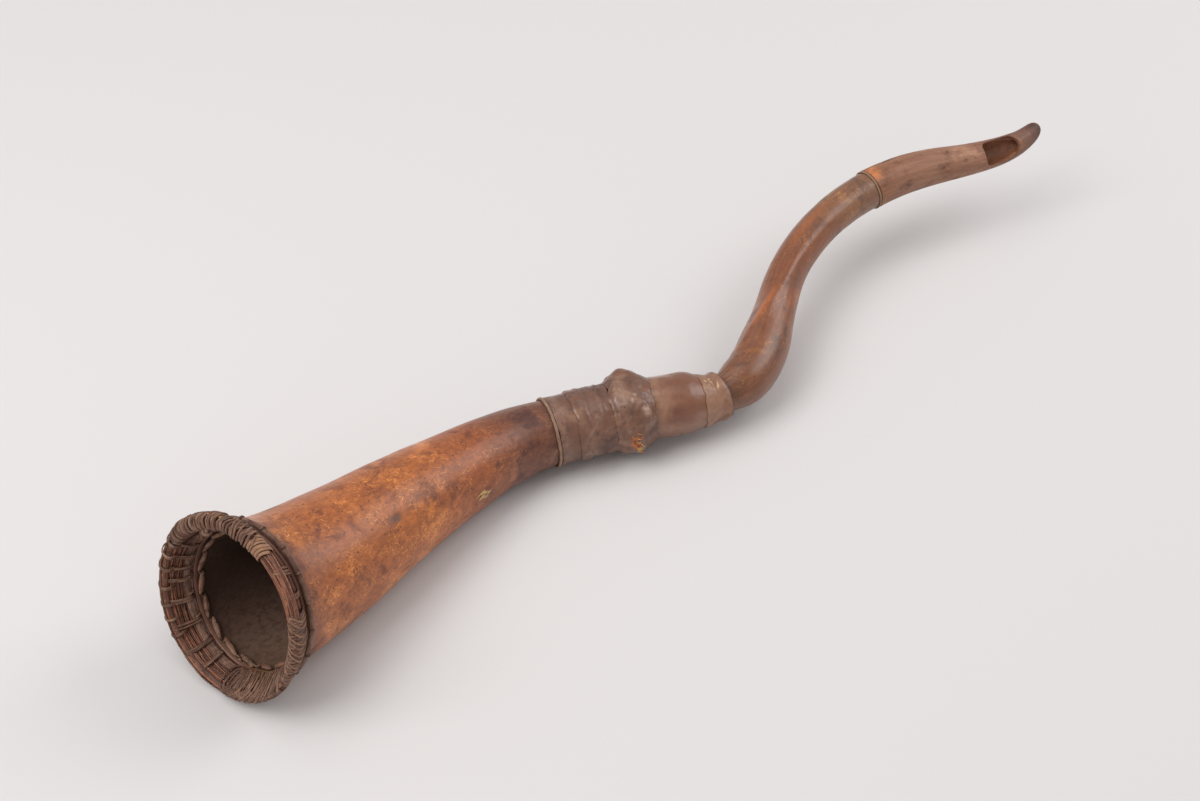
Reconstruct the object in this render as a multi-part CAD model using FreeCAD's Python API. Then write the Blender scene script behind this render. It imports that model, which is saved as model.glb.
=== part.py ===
"""Side-blown composite horn: a gourd bell, an S-shaped gourd neck and a mouth tube, joined under hide.

The whole horn is hung on one spine, a line that turns and climbs as it runs from the bell's lip to
the tip. A place on the horn is a distance along the spine, so a longer bell carries everything
behind it. Lengths are in millimetres and angles in degrees. +X runs from the bell to the tip, +Z is
up, and the origin is under the middle of the horn, on the surface that it lies on.
"""

import FreeCAD
import Part
import math
import os

V = FreeCAD.Vector

# ---------------------------------------------------------------- driving dimensions
# Bell: a gourd cone, widest at its lip
bell_length = 386.5
bell_wall = 4.6
bell_lip_radius = 62.5
bell_waist_radius = 27.8
bell_end_radius = 25.2
bell_waist_at = 0.824         # share of the bell's length where the cone ends
bell_belly = 1.6              # how far the cone's flanks hollow inwards half way

# Neck: an S-shaped gourd stalk with a plug that enters the bell
neck_length = 360.0
neck_wall = 3.8
neck_plug_length = 26.0
neck_shoulder_radius = 24.6
neck_throat_radius = 16.4
neck_elbow_radius = 22.4
neck_shaft_radius = 16.8
neck_end_radius = 17.2
neck_spigot_length = 24.0

# Mouth tube: slips over the neck's spigot and is closed at its tip
mouth_length = 179.0
mouth_radius = 18.4
mouth_hole_radius = 12.8      # outside radius of the tube at the blow hole
mouth_tip_radius = 7.6
mouth_wall = 3.0
finger_bore_radius = 4.6      # the narrow bore that runs on past the blow hole
finger_bore_length = 12.0
hole_length = 35.0
hole_width = 21.0
hole_corner = 4.0
hole_at = 0.735               # share of the mouth tube's length, to the hole's middle
hole_lean = 42.0              # how far the hole leans from the top towards -Y

# Hide over the joint of bell and neck
fit = 0.3                     # clearance between two layers
hide = 1.3
sleeve_cover = 68.0           # how far the front sleeve lies over the bell
rear_cover = 64.0             # how far the rear sleeve lies over the neck
overlap_setback = 18.0        # each further turn of hide starts this much later
turn_gap = 1.0
thong_radius = 1.3
cuff_length = 17.0
cuff_thickness = 1.1
packing_length = 22.0
packing_thickness = 3.4
lump_length = 30.0
lobe_height = 5.0             # bosses on the lump

# Gum that seals the two joints
gum_length = 5.0
gum_feather = 0.35            # share of the neck's wall that the gum's thin end covers
gum_bead_length = 2.0
gum_bead_proud = 0.1

# Basketry collar in front of the bell's lip, seen in section: forward of the lip, and radius
splint_forward = 4.4
splint_inset = 0.9            # the splint's middle lies this far inside the lip's outside
splint_width = 5.0
splint_thickness = 2.0
roll_forward = 17.0
roll_reach = 8.3              # the roll's middle lies this far outside the splint's
roll_rod_radius = 2.4
collar_rod_radius = 1.3
collar_rod_count = 2
lip_rod_radius = 2.2
lip_rod_back = 4.2            # the outer hoop lies this far behind the lip
wrap_thickness = 1.2
wrap_clearance = 0.2

# Bindings of the collar, as seen from the front: 0 is the top and angles grow to the left
roll_wraps = {"wrap_top_left": (42.0, 66.0), "wrap_crown": (338.0, 384.0)}
band_wraps = {"wrap_foot": (187.0, 243.0), "wrap_right": (249.0, 298.0)}
tie_angles = (68.0, 80.0, 91.0, 101.0, 116.0, 134.0, 152.0, 166.0, 310.0, 326.0)
tie_span = 3.0
knot_angle = 33.0
knot_radius = 5.2
strand_radius = 1.4
strand_span = 14.0

# Lacing that holds the outer hoop to the gourd
stitch_count = 18
stitch_radius = 1.8
stitch_share = 0.82           # of the spacing that one inside stitch covers
lace_radius = 0.9
lace_hook_turn = 150.0        # how far the lace turns over the outer hoop
lace_hole_radius = 1.3

# The spine: share of each piece's length, turn to the left, climb
bell_bends = ((0.022, 8.9, -19.0), (0.149, 6.0, -7.4), (0.306, 8.4, -5.8), (0.491, 6.2, -6.9),
              (0.668, 0.5, -5.0), (0.824, -19.1, 0.6), (0.980, -25.2, 2.9))
neck_bends = ((0.14, -27.6, -1.7), (0.28, 5.7, 2.1), (0.41, 31.1, 8.3), (0.56, 34.3, 10.2),
              (0.73, 18.5, 10.0), (0.89, 4.2, 5.7))
mouth_bends = ((0.12, -9.7, 2.2), (0.46, -26.2, 2.2), (0.74, -19.0, 6.6), (1.00, 15.0, 12.9))

section_step = 6.0            # spacing of the lofts' sections
walk_step = 1.0               # step used when the spine is walked out

# ---------------------------------------------------------------- places worked out from them
splint_out = bell_lip_radius - splint_inset
roll_out = splint_out + roll_reach
neck_start = bell_length
mouth_start = bell_length + neck_length
tip = mouth_start + mouth_length
waist = bell_length * bell_waist_at
hole_middle = mouth_start + mouth_length * hole_at
hole_start = hole_middle - hole_length / 2
hole_end = hole_middle + hole_length / 2
plug_radius = bell_end_radius - bell_wall - fit
spigot_radius = mouth_radius - mouth_wall - fit


def smooth(keys, at):
    """Value at a place, on a smooth line through (place, value) keys that never overshoots them."""
    if at <= keys[0][0]:
        return keys[0][1]
    if at >= keys[-1][0]:
        return keys[-1][1]
    slopes = [(b[1] - a[1]) / (b[0] - a[0]) for a, b in zip(keys, keys[1:])]
    ends = [slopes[0]]
    for before, after in zip(slopes, slopes[1:]):
        ends.append(0.0 if before * after <= 0 else 2 * before * after / (before + after))
    ends.append(slopes[-1])
    i = next(k for k in range(len(slopes)) if at <= keys[k + 1][0])
    span = keys[i + 1][0] - keys[i][0]
    t = (at - keys[i][0]) / span
    return (keys[i][1] * (1 + 2 * t) * (1 - t) ** 2 + ends[i] * span * t * (1 - t) ** 2
            + keys[i + 1][1] * t * t * (3 - 2 * t) + ends[i + 1] * span * t * t * (t - 1))


def bend_keys(column):
    """The turn (column 1) or climb (column 2) as (distance, angle) keys along the whole spine."""
    pieces = ((0.0, bell_length, bell_bends), (neck_start, neck_length, neck_bends),
              (mouth_start, mouth_length, mouth_bends))
    return [(start + share[0] * length, share[column])
            for start, length, bends in pieces for share in bends]


turn_keys, climb_keys = bend_keys(1), bend_keys(2)


def heading(at):
    """Unit direction of the spine at a distance along it."""
    turn, climb = math.radians(smooth(turn_keys, at)), math.radians(smooth(climb_keys, at))
    return V(math.cos(climb) * math.cos(turn), math.cos(climb) * math.sin(turn), math.sin(climb))


def walk():
    """Points along the spine, one per walk_step, starting at the centre of the bell's lip."""
    points, at = [V(0, 0, 0)], 0.0
    while at < tip:
        points.append(points[-1] + heading(at + walk_step / 2) * walk_step)
        at += walk_step
    return points


spine = walk()


def centre(at):
    """Point on the spine; the spine runs on straight past both ends."""
    if at <= 0:
        return spine[0] + heading(0) * at
    if at >= tip:
        return spine[-1] + heading(tip) * (at - tip)
    i = int(at / walk_step)
    return spine[i] + heading(at) * (at - i * walk_step)


def axes_at(at):
    """Unit directions at a place on the spine: along it, up and square to it, and to the side."""
    along = heading(min(max(at, 0.0), tip))
    up = V(0, 0, 1) - along * along.z
    up.normalize()
    return along, up, along.cross(up)


def placement(x, y, z, origin):
    """A rigid move that carries the three axes to x, y and z, and the origin to a point."""
    return FreeCAD.Placement(FreeCAD.Matrix(x.x, y.x, z.x, origin.x, x.y, y.y, z.y, origin.y,
                                            x.z, y.z, z.z, origin.z, 0, 0, 0, 1))


def moved(shape, move):
    """A copy of a shape, carried by a placement."""
    carried = shape.copy()
    carried.Placement = move.multiply(carried.Placement)
    return carried


def frame(at):
    """Placement whose Z runs along the spine and whose X points up, square to it."""
    along, up, side = axes_at(at)
    return placement(up, side, along, centre(at))


def circle(radius):
    """A circle round Z."""
    return Part.Wire(Part.Circle(V(0, 0, 0), V(0, 0, 1), radius).toShape())


def ring(at, radius):
    """A circle round the spine."""
    return moved(circle(radius), frame(at))


def lobed_ring(at, radius, lobes):
    """A closed curve round the spine that swells by a height at each (angle, width, height) lobe."""
    points = []
    for k in range(36):
        angle = 10.0 * k
        swell = sum(h * math.exp(-(((angle - a + 180) % 360 - 180) / w) ** 2) for a, w, h in lobes)
        turn = math.radians(angle)
        points.append(V((radius + swell) * math.cos(turn), (radius + swell) * math.sin(turn), 0))
    curve = Part.BSplineCurve()
    curve.interpolate(Points=points, PeriodicFlag=True)
    return moved(Part.Wire(curve.toShape()), frame(at))


def places(start, end, step=section_step):
    """Distances from start to end; inside, they keep to one grid, counted from the joint.

    Nested pieces share the grid, so that their lofts follow each other.
    """
    first, last = math.ceil((start - neck_start) / step), math.floor((end - neck_start) / step)
    inner = [neck_start + k * step for k in range(first, last + 1)]
    inner = [s for s in inner if s - start > 0.4 * step and end - s > 0.4 * step]
    return [start] + inner + [end]


def solid_of(start, end, radius, step=section_step):
    """A solid round the spine whose radius follows a function of the distance."""
    return Part.makeLoft([ring(s, radius(s)) for s in places(start, end, step)], True, False)


def tube(runs, inner):
    """A solid between the outside, in one or more runs of closed curves, and the row of its bore.

    The outside steps in or out where one run ends and the next begins.
    """
    skins = [Part.makeLoft(rows, False, False) for rows in runs + [inner]]
    flats = [(runs[0][0], inner[0]), (runs[-1][-1], inner[-1])]
    flats += [(before[-1], after[0]) for before, after in zip(runs, runs[1:])]
    caps = [Part.makeFace(list(pair), "Part::FaceMakerBullseye") for pair in flats]
    shell = Part.makeShell([face for skin in skins for face in skin.Faces] + caps)
    shell.sewShape()
    return Part.makeSolid(shell)


def shell_of(start, end, outside, inside, step=section_step):
    """A tube round the spine, open at both ends, from its two radii as functions of the distance."""
    at = places(start, end, step)
    return tube([[ring(s, outside(s)) for s in at]], [ring(s, inside(s)) for s in at])


# ---------------------------------------------------------------- outlines
def bell_outside(at):
    """Outside radius of the bell."""
    half = waist / 2
    lip_to_half = (bell_lip_radius + bell_waist_radius) / 2 - bell_belly
    return smooth(((0.0, bell_lip_radius), (half, lip_to_half), (waist, bell_waist_radius),
                   (bell_length, bell_end_radius)), at)


def bell_inside(at):
    """Bore radius of the bell."""
    return bell_outside(at) - bell_wall


lip_rod_out = bell_outside(lip_rod_back) + lip_rod_radius + fit
lace_back = lip_rod_back + lip_rod_radius + lace_radius + fit

neck_keys = ((neck_start, neck_shoulder_radius), (neck_start + 14, neck_shoulder_radius),
             (neck_start + 0.13 * neck_length, 0.97 * neck_shoulder_radius),
             (neck_start + 0.225 * neck_length, neck_throat_radius),
             (neck_start + 0.30 * neck_length, neck_elbow_radius - 0.8),
             (neck_start + 0.40 * neck_length, neck_elbow_radius),
             (neck_start + 0.54 * neck_length, neck_shaft_radius + 1.6),
             (neck_start + 0.70 * neck_length, neck_shaft_radius),
             (neck_start + 0.84 * neck_length, neck_shaft_radius),
             (mouth_start, neck_end_radius))


def neck_outside(at):
    """Outside radius of the neck between its plug and its spigot."""
    return smooth(neck_keys, at)


def neck_bore(at):
    """Bore radius of the neck, plug and spigot included."""
    root, end = plug_radius - neck_wall, spigot_radius - neck_wall
    keys = [(neck_start - neck_plug_length, root), (neck_start, root)]
    keys += [(s, r - neck_wall) for s, r in neck_keys[2:-1]]
    return smooth(keys + [(mouth_start - 6, end), (mouth_start + neck_spigot_length, end)], at)


mouth_keys = ((mouth_start, mouth_radius), (mouth_start + 0.28 * mouth_length, mouth_radius - 1.0),
              (mouth_start + 0.54 * mouth_length, mouth_hole_radius + 2.0),
             (hole_middle, mouth_hole_radius),
              (mouth_start + 0.89 * mouth_length, mouth_tip_radius + 2.2),
              (tip - mouth_tip_radius, mouth_tip_radius + 0.4), (tip - 2.2, mouth_tip_radius - 1.6),
              (tip, mouth_tip_radius - 4.6))


def mouth_outside(at):
    """Outside radius of the mouth tube."""
    return smooth(mouth_keys, at)


def mouth_bore(at):
    """Bore radius of the mouth tube, from its socket to the far end of the blow hole."""
    seat = mouth_start + neck_spigot_length + fit
    return smooth(((mouth_start, mouth_radius - mouth_wall), (seat, mouth_radius - mouth_wall),
                   (seat + 12, mouth_radius - 2 * mouth_wall), (hole_start, hole_width / 2),
                   (hole_end - 9, mouth_outside(hole_end) - mouth_wall), (hole_end, finger_bore_radius),
                   (hole_end + finger_bore_length, finger_bore_radius)), at)


# ---------------------------------------------------------------- gourd pieces
def lace_places():
    """Angles of the lace holes round the lip."""
    return [360.0 * k / stitch_count for k in range(stitch_count)]


def bell_gourd():
    """The bell: a hollow cone with lace holes behind its lip."""
    shape = shell_of(0.0, bell_length, bell_outside, bell_inside)
    reach = bell_lip_radius + bell_wall
    hole = Part.makeCylinder(lace_hole_radius, reach / 2, V(reach / 2, 0, -lace_back), V(1, 0, 0))
    return shape.cut([in_mouth(turned(hole, angle)) for angle in lace_places()])


def neck_gourd():
    """The neck: a plug that enters the bell, the S-shaped stalk and a spigot for the mouth tube."""
    first, last = neck_start - neck_plug_length, mouth_start + neck_spigot_length
    plug = [ring(s, plug_radius) for s in places(first, neck_start)]
    stalk = [ring(s, neck_outside(s)) for s in places(neck_start, mouth_start)]
    spigot = [ring(s, spigot_radius) for s in places(mouth_start, last)]
    return tube([plug, stalk, spigot], [ring(s, neck_bore(s)) for s in places(first, last)])


def mouth_tube():
    """The mouth tube: a socket for the neck, the blow hole in its side and a closed tip."""
    outside = solid_of(mouth_start + fit, tip, mouth_outside)
    bore = solid_of(mouth_start - 3, hole_end + finger_bore_length, mouth_bore)
    return outside.cut([bore, blow_hole_cutter()])


def blow_hole_cutter():
    """A block with the blow hole's outline: square at the bell's end and round at the tip's end."""
    half, end = hole_width / 2, hole_length / 2
    outline = Part.makeBox(hole_length - half, hole_width, 2 * mouth_radius, V(-end, -half, 0))
    outline = outline.makeFillet(hole_corner, [e for e in outline.Edges if upright_at(e, -end)])
    round_end = Part.makeCylinder(half, 2 * mouth_radius, V(end - half, 0, 0), V(0, 0, 1))
    block = outline.fuse(round_end)
    # the block's X runs along the spine and its Z leans from the top towards the blowing side
    along, up, side = axes_at(hole_middle)
    out = up * math.cos(math.radians(hole_lean)) + side * math.sin(math.radians(hole_lean))
    return moved(block, placement(along, out.cross(along), out, centre(hole_middle)))


def upright_at(edge, x):
    """True for a vertical edge of the block at that x."""
    ends = [v.Point for v in edge.Vertexes]
    return abs(ends[0].z - ends[1].z) > 1 and abs(ends[0].x - x) < 0.01


# ---------------------------------------------------------------- the joint under its hide
sleeve_start = bell_length - sleeve_cover
lump_start = neck_start - lump_length / 2
lump_end = neck_start + lump_length / 2
packing_start = neck_start - packing_length / 2
packing_end = neck_start + packing_length / 2
rear_end = neck_start + lump_length / 2 + rear_cover
# the bosses as (angle from the top towards -Y, width in degrees, share of lobe_height)
lump_lobes = ((-46.0, 24.0, 0.9), (52.0, 20.0, 0.75), (130.0, 18.0, 0.9), (184.0, 25.0, 0.3))


def joint_body(at):
    """Outside radius of the gourds under the hide, on both sides of the joint."""
    return bell_outside(at) if at < neck_start else neck_outside(at)


def packed(at):
    """Outside radius of the fibre packing, which bulges over the joint."""
    share = (at - packing_start) / packing_length
    bulge = math.sin(math.pi * min(max(share, 0.0), 1.0))
    return max(bell_end_radius, neck_shoulder_radius) + fit + packing_thickness * (0.55 + 0.45 * bulge)


def joint_packing():
    """A ring of bark fibre wound over the joint of bell and neck."""
    seat = max(bell_end_radius, neck_shoulder_radius, bell_outside(packing_start)) + fit
    return shell_of(packing_start, packing_end, packed, lambda s: seat, 3.0)


def joint_gum():
    """Gum run into the corner between the neck's plug and the bell's bore."""
    start = neck_start - neck_plug_length - gum_length
    fillet = ((start, gum_feather), (start + gum_length, 1.0))
    return shell_of(start, start + gum_length - fit, lambda s: bell_inside(s) - fit,
                    lambda s: bell_inside(s) - fit - neck_wall * smooth(fillet, s), 3.0)


def mouth_joint_gum():
    """A thin bead of gum at the mouth tube's edge."""
    return shell_of(mouth_start - gum_bead_length, mouth_start, lambda s: mouth_radius + gum_bead_proud,
                    lambda s: neck_end_radius + fit, 1.0)


def hide_layer(start, end, layers):
    """A turn of hide over the joint; layers says how many turns lie under it."""
    def inside(at):
        return joint_body(at) + fit + layers * (hide + fit)

    return shell_of(start, end, lambda s: inside(s) + hide, inside)


def lump_inside(at):
    """Inside radius of the lump's cover, over the packing or its skirts."""
    bare = max(bell_end_radius, neck_shoulder_radius, bell_outside(lump_start)) + fit
    over = packed(at) + fit
    return min(over, smooth(((lump_start, bare), (packing_start, over), (packing_end, over),
                             (lump_end, bare)), at))


def joint_cover():
    """Hide gathered over the packing into a lump with bosses."""
    def swell(at):
        return max(0.0, math.sin(math.pi * (at - lump_start) / lump_length)) ** 0.7

    at = places(lump_start, lump_end, 3.0)
    sections = []
    for s in at:
        lobes = [(a, w, h * lobe_height * swell(s)) for a, w, h in lump_lobes]
        sections.append(lobed_ring(s, lump_inside(s) + hide, lobes))
    return tube([sections], [ring(s, lump_inside(s)) for s in at])


def rear_cuff():
    """A last narrow band of hide round the rear sleeve's end."""
    start = rear_end - cuff_length
    return shell_of(start, rear_end + 2.0, lambda s: neck_outside(s) + 2 * fit + hide + cuff_thickness,
                    lambda s: neck_outside(s) + 2 * fit + hide)


def edge_thong():
    """A thin thong tied round the front edge of the sleeve."""
    at = sleeve_start - thong_radius - fit
    return moved(Part.makeTorus(bell_outside(at) + thong_radius + fit, thong_radius), frame(at))


# ---------------------------------------------------------------- the basketry collar
def in_mouth(shape):
    """Places a shape made with Z out of the mouth and X up at the bell's lip.

    Angles round Z grow to the left as the mouth is looked at.
    """
    inward = heading(0.0)
    up = V(0, 0, 1) - inward * inward.z
    up.normalize()
    out = inward * -1.0
    left = out.cross(up)
    return moved(shape, placement(up, left, out, V(0, 0, 0)))


def turned(shape, angle):
    """A copy of a shape, turned round the mouth's axis."""
    return moved(shape, FreeCAD.Placement(V(0, 0, 0), FreeCAD.Rotation(V(0, 0, 1), angle)))


def hoop(forward, out, radius, start=0.0, span=360.0):
    """A round rod bent into a ring, or part of one, round the mouth."""
    rod = Part.Face(Part.Wire(Part.Circle(V(out, 0, forward), V(0, 1, 0), radius).toShape()))
    return spun(rod, start, span)


def spun(face, start, span):
    """Turns a face in the XZ plane round the mouth's axis."""
    return turned(face.revolve(V(0, 0, 0), V(0, 0, 1), span), start)


def capsule(first, first_radius, second, second_radius):
    """Outline round two circles in the XZ plane, as one wire. Points are (out, forward)."""
    (x1, z1), (x2, z2) = first, second
    gap = math.hypot(x2 - x1, z2 - z1)
    base, spread = math.atan2(z2 - z1, x2 - x1), math.acos((first_radius - second_radius) / gap)

    def rim(x, z, radius, angle):
        return V(x + radius * math.cos(angle), 0, z + radius * math.sin(angle))

    a1, a2 = rim(x1, z1, first_radius, base + spread), rim(x1, z1, first_radius, base - spread)
    b1, b2 = rim(x2, z2, second_radius, base + spread), rim(x2, z2, second_radius, base - spread)
    back = rim(x1, z1, first_radius, base + math.pi)
    front = rim(x2, z2, second_radius, base)
    edges = [Part.LineSegment(a1, b1).toShape(), Part.Arc(b1, front, b2).toShape(),
             Part.LineSegment(b2, a2).toShape(), Part.Arc(a2, back, a1).toShape()]
    return Part.Wire(edges)


roll_bundle = roll_rod_radius * (1 + 2 / math.sqrt(3)) + 0.1   # circle round three touching rods
splint_half = math.hypot(splint_width, splint_thickness) / 2


def band(start, span):
    """A binding round the whole collar, from its splint to its front roll."""
    near, far = (splint_out, splint_forward), (roll_out, roll_forward)
    inner = splint_half + wrap_clearance, roll_bundle + wrap_clearance
    outer = inner[0] + wrap_thickness, inner[1] + wrap_thickness
    face = Part.Face(capsule(near, outer[0], far, outer[1]))
    face = face.cut(Part.Face(capsule(near, inner[0], far, inner[1])))
    return spun(face, start, span)


def roll_wrap(start, end):
    """A binding round the front roll only."""
    inner = roll_bundle + wrap_clearance
    wires = [Part.Wire(Part.Circle(V(roll_out, 0, roll_forward), V(0, 1, 0), radius).toShape())
             for radius in (inner + wrap_thickness, inner)]
    return spun(Part.Face(wires[0]).cut(Part.Face(wires[1])), start, end - start)


def roll_rods():
    """The three rods of the front roll, at the corners of a triangle."""
    reach = 2 * roll_rod_radius / math.sqrt(3) + 0.05
    made = {}
    for k, name in enumerate(("roll_rod_outer", "roll_rod_front", "roll_rod_inner")):
        angle = math.radians(-30.0 + 120.0 * k)
        made[name] = in_mouth(hoop(roll_forward + reach * math.sin(angle),
                                   roll_out + reach * math.cos(angle), roll_rod_radius))
    return made


def collar_rods():
    """The thinner rods between the splint and the roll."""
    rise, reach = roll_forward - splint_forward, roll_out - splint_out
    slant = math.hypot(rise, reach)
    made = {}
    for k in range(collar_rod_count):
        at = splint_half + collar_rod_radius + wrap_clearance + k * (2 * collar_rod_radius + wrap_clearance)
        made[f"collar_rod_{k + 1}"] = in_mouth(hoop(splint_forward + rise * at / slant,
                                                    splint_out + reach * at / slant, collar_rod_radius))
    return made


def lip_splint():
    """The flat splint that lies against the gourd's lip."""
    box = Part.makePlane(splint_thickness, splint_width, V(0, 0, 0), V(0, -1, 0), V(1, 0, 0))
    slope = math.degrees(math.atan2(roll_forward - splint_forward, roll_out - splint_out)) - 90.0
    box.translate(V(-splint_thickness / 2, 0, -splint_width / 2) - box.BoundBox.Center
                  + V(splint_thickness / 2, 0, splint_width / 2))
    box.rotate(V(0, 0, 0), V(0, -1, 0), slope)
    box.translate(V(splint_out, 0, splint_forward))
    return in_mouth(spun(box, 0.0, 360.0))


def lip_rod():
    """The outer hoop, which lies on the gourd just behind its lip."""
    return in_mouth(hoop(-lip_rod_back, lip_rod_out, lip_rod_radius))


def cross_ties():
    """Short bindings that hold the rods of the open side together."""
    return Part.makeCompound([in_mouth(band(a - tie_span / 2, tie_span)) for a in tie_angles])


def rim_knot():
    """The knot where the binding of the roll begins, a ring with a bulge on the mouth's side."""
    inner = roll_bundle + wrap_clearance
    span = math.degrees(2 * knot_radius / roll_out) * 0.8
    ring_part = roll_wrap(knot_angle - span / 2, knot_angle + span / 2)
    ball = Part.makeSphere(knot_radius, V(roll_out - inner, 0, roll_forward))
    ball.rotate(V(0, 0, 0), V(0, 0, 1), knot_angle)
    core = hoop(roll_forward, roll_out, inner)
    return in_mouth(ring_part.fuse(ball.cut(core)))


def loose_strand():
    """A strand that runs slantwise from the knot across the collar's open side."""
    start, end = knot_angle + 8.0, knot_angle + 8.0 + strand_span
    clear = strand_radius + fit
    beside_roll = roll_out - roll_bundle - wrap_clearance - wrap_thickness - clear
    beside_splint = splint_out - splint_half - clear
    path = []
    for angle, forward, out in ((start, roll_forward, beside_roll), (end, splint_forward, beside_splint)):
        turn = math.radians(angle)
        path.append(V(out * math.cos(turn), out * math.sin(turn), forward))
    run = path[1] - path[0]
    rod = Part.makeCylinder(strand_radius, run.Length, path[0], run)
    return in_mouth(rod.fuse([Part.makeSphere(strand_radius, p) for p in path]))


def lip_lacing():
    """The lace: a stitch inside the lip, a leg through the gourd and a hook over the outer hoop."""
    inner_wall = bell_inside(lace_back)
    stitch = hoop(-lace_back, inner_wall - stitch_radius - 2 * fit, stitch_radius, -2.0,
                  360.0 / stitch_count * stitch_share)
    root = inner_wall - stitch_radius
    leg = Part.makeCylinder(lace_radius, lip_rod_out - root, V(root, 0, -lace_back), V(1, 0, 0))
    end = Part.Face(Part.Wire(Part.Circle(V(lip_rod_out, 0, -lace_back), V(1, 0, 0), lace_radius).toShape()))
    hook = end.revolve(V(lip_rod_out, 0, -lip_rod_back), V(0, -1, 0), lace_hook_turn)
    lace = stitch.fuse([leg, hook]).removeSplitter()
    return Part.makeCompound([in_mouth(turned(lace, angle)) for angle in lace_places()])


# ---------------------------------------------------------------- all of it
def build():
    """Every node of the horn by name, in the spine's own place."""
    second = sleeve_start + overlap_setback
    nodes = {
        "bell_gourd": bell_gourd(),
        "neck_gourd": neck_gourd(),
        "mouth_tube": mouth_tube(),
        "joint_packing": joint_packing(),
        "joint_gum": joint_gum(),
        "mouth_joint_gum": mouth_joint_gum(),
        "front_sleeve": hide_layer(sleeve_start, lump_start - turn_gap, 0),
        "front_sleeve_turn": hide_layer(second, lump_start - turn_gap, 1),
        "rear_sleeve": hide_layer(lump_end + turn_gap, rear_end, 0),
        "rear_cuff": rear_cuff(),
        "joint_cover": joint_cover(),
        "edge_thong": edge_thong(),
        "lip_splint": lip_splint(),
        "lip_rod": lip_rod(),
        "lip_lacing": lip_lacing(),
        "cross_ties": cross_ties(),
        "rim_knot": rim_knot(),
        "loose_strand": loose_strand(),
    }
    nodes.update(roll_rods())
    nodes.update(collar_rods())
    for name, (start, end) in roll_wraps.items():
        nodes[name] = in_mouth(roll_wrap(start, end))
    for name, (start, end) in band_wraps.items():
        nodes[name] = in_mouth(band(start, end - start))
    return nodes


def main():
    """Builds the nodes, moves the origin under the middle of the horn and writes the STEP files."""
    nodes = build()
    box = Part.makeCompound(list(nodes.values())).optimalBoundingBox(False, False)
    origin = V((box.XMin + box.XMax) / 2, (box.YMin + box.YMax) / 2, box.ZMin)
    os.makedirs("parts", exist_ok=True)
    for name, shape in nodes.items():
        shape.translate(origin * -1.0)
        shape.exportStep(f"parts/{name}.step")
        print(f"{name:20s} {len(shape.Solids):3d} solids {shape.Volume / 1000:8.2f} cm3", shape.isValid())
    print("lip centre", [round(c, 2) for c in origin * -1.0], "inward", [round(c, 4) for c in heading(0.0)])
    print("blow hole", [round(c, 2) for c in centre(hole_middle) - origin])
    print("size", round(box.XLength, 1), round(box.YLength, 1), round(box.ZLength, 1))


main()
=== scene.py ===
"""Looks of a side-blown composite horn: gourd bell, S-shaped gourd neck and mouth tube under hide.

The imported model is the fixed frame. Shapes are worked out in millimetres along the horn's spine and
laid down in metres. A place on the horn is a distance along the spine and an angle round it, from
the top towards -Y. A place on the basketry collar is an angle round the mouth, from the top to the
left as the mouth is looked at, a radius and a distance forward of the bell's lip.
"""

import logging
import math
from dataclasses import dataclass, field, replace
from enum import Enum
from functools import lru_cache
from typing import Callable, Iterable, NamedTuple, Optional, Sequence

import bmesh
import bpy
from mathutils import Euler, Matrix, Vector, noise
from mathutils.kdtree import KDTree


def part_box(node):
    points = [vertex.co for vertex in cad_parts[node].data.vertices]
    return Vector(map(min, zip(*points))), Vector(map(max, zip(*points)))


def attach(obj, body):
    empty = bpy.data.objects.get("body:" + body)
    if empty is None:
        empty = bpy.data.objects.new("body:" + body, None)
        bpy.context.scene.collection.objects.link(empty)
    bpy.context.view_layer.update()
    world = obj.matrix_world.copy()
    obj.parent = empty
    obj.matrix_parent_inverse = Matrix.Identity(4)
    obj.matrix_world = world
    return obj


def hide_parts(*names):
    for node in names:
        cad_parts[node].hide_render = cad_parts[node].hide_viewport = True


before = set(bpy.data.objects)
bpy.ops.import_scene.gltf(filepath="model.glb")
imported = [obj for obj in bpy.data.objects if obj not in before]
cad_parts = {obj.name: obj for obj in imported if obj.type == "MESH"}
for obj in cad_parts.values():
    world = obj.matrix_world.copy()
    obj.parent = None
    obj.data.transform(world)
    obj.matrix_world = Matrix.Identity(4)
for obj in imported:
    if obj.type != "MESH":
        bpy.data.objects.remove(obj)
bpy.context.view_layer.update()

LOG = logging.getLogger("horn")
MM = 0.001
TAU = math.tau
Key = tuple[float, float]


# ---------------------------------------------------------------- small maths
def smooth(keys: Sequence[Key], at: float) -> float:
    """Reads a smooth line through keys that never overshoots them.

    Args:
        keys: (place, value) pairs in order.
        at: the place to read.

    Returns:
        The value there; the end values run on past both ends.
    """
    if at <= keys[0][0]:
        return keys[0][1]
    if at >= keys[-1][0]:
        return keys[-1][1]
    slopes = [(b[1] - a[1]) / (b[0] - a[0]) for a, b in zip(keys, keys[1:])]
    ends = [slopes[0]]
    for before, after in zip(slopes, slopes[1:]):
        ends.append(0.0 if before * after <= 0 else 2 * before * after / (before + after))
    ends.append(slopes[-1])
    i = next(k for k in range(len(slopes)) if at <= keys[k + 1][0])
    span = keys[i + 1][0] - keys[i][0]
    t = (at - keys[i][0]) / span
    return (keys[i][1] * (1 + 2 * t) * (1 - t) ** 2 + ends[i] * span * t * (1 - t) ** 2
            + keys[i + 1][1] * t * t * (3 - 2 * t) + ends[i + 1] * span * t * t * (t - 1))


def bump(at: float, middle: float, width: float) -> float:
    """A bell curve of height 1 at its middle."""
    return math.exp(-((at - middle) / width) ** 2)


def turn_gap(angle: float, middle: float) -> float:
    """Degrees from a middle angle to an angle, the short way round."""
    return (angle - middle + 180.0) % 360.0 - 180.0


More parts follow.
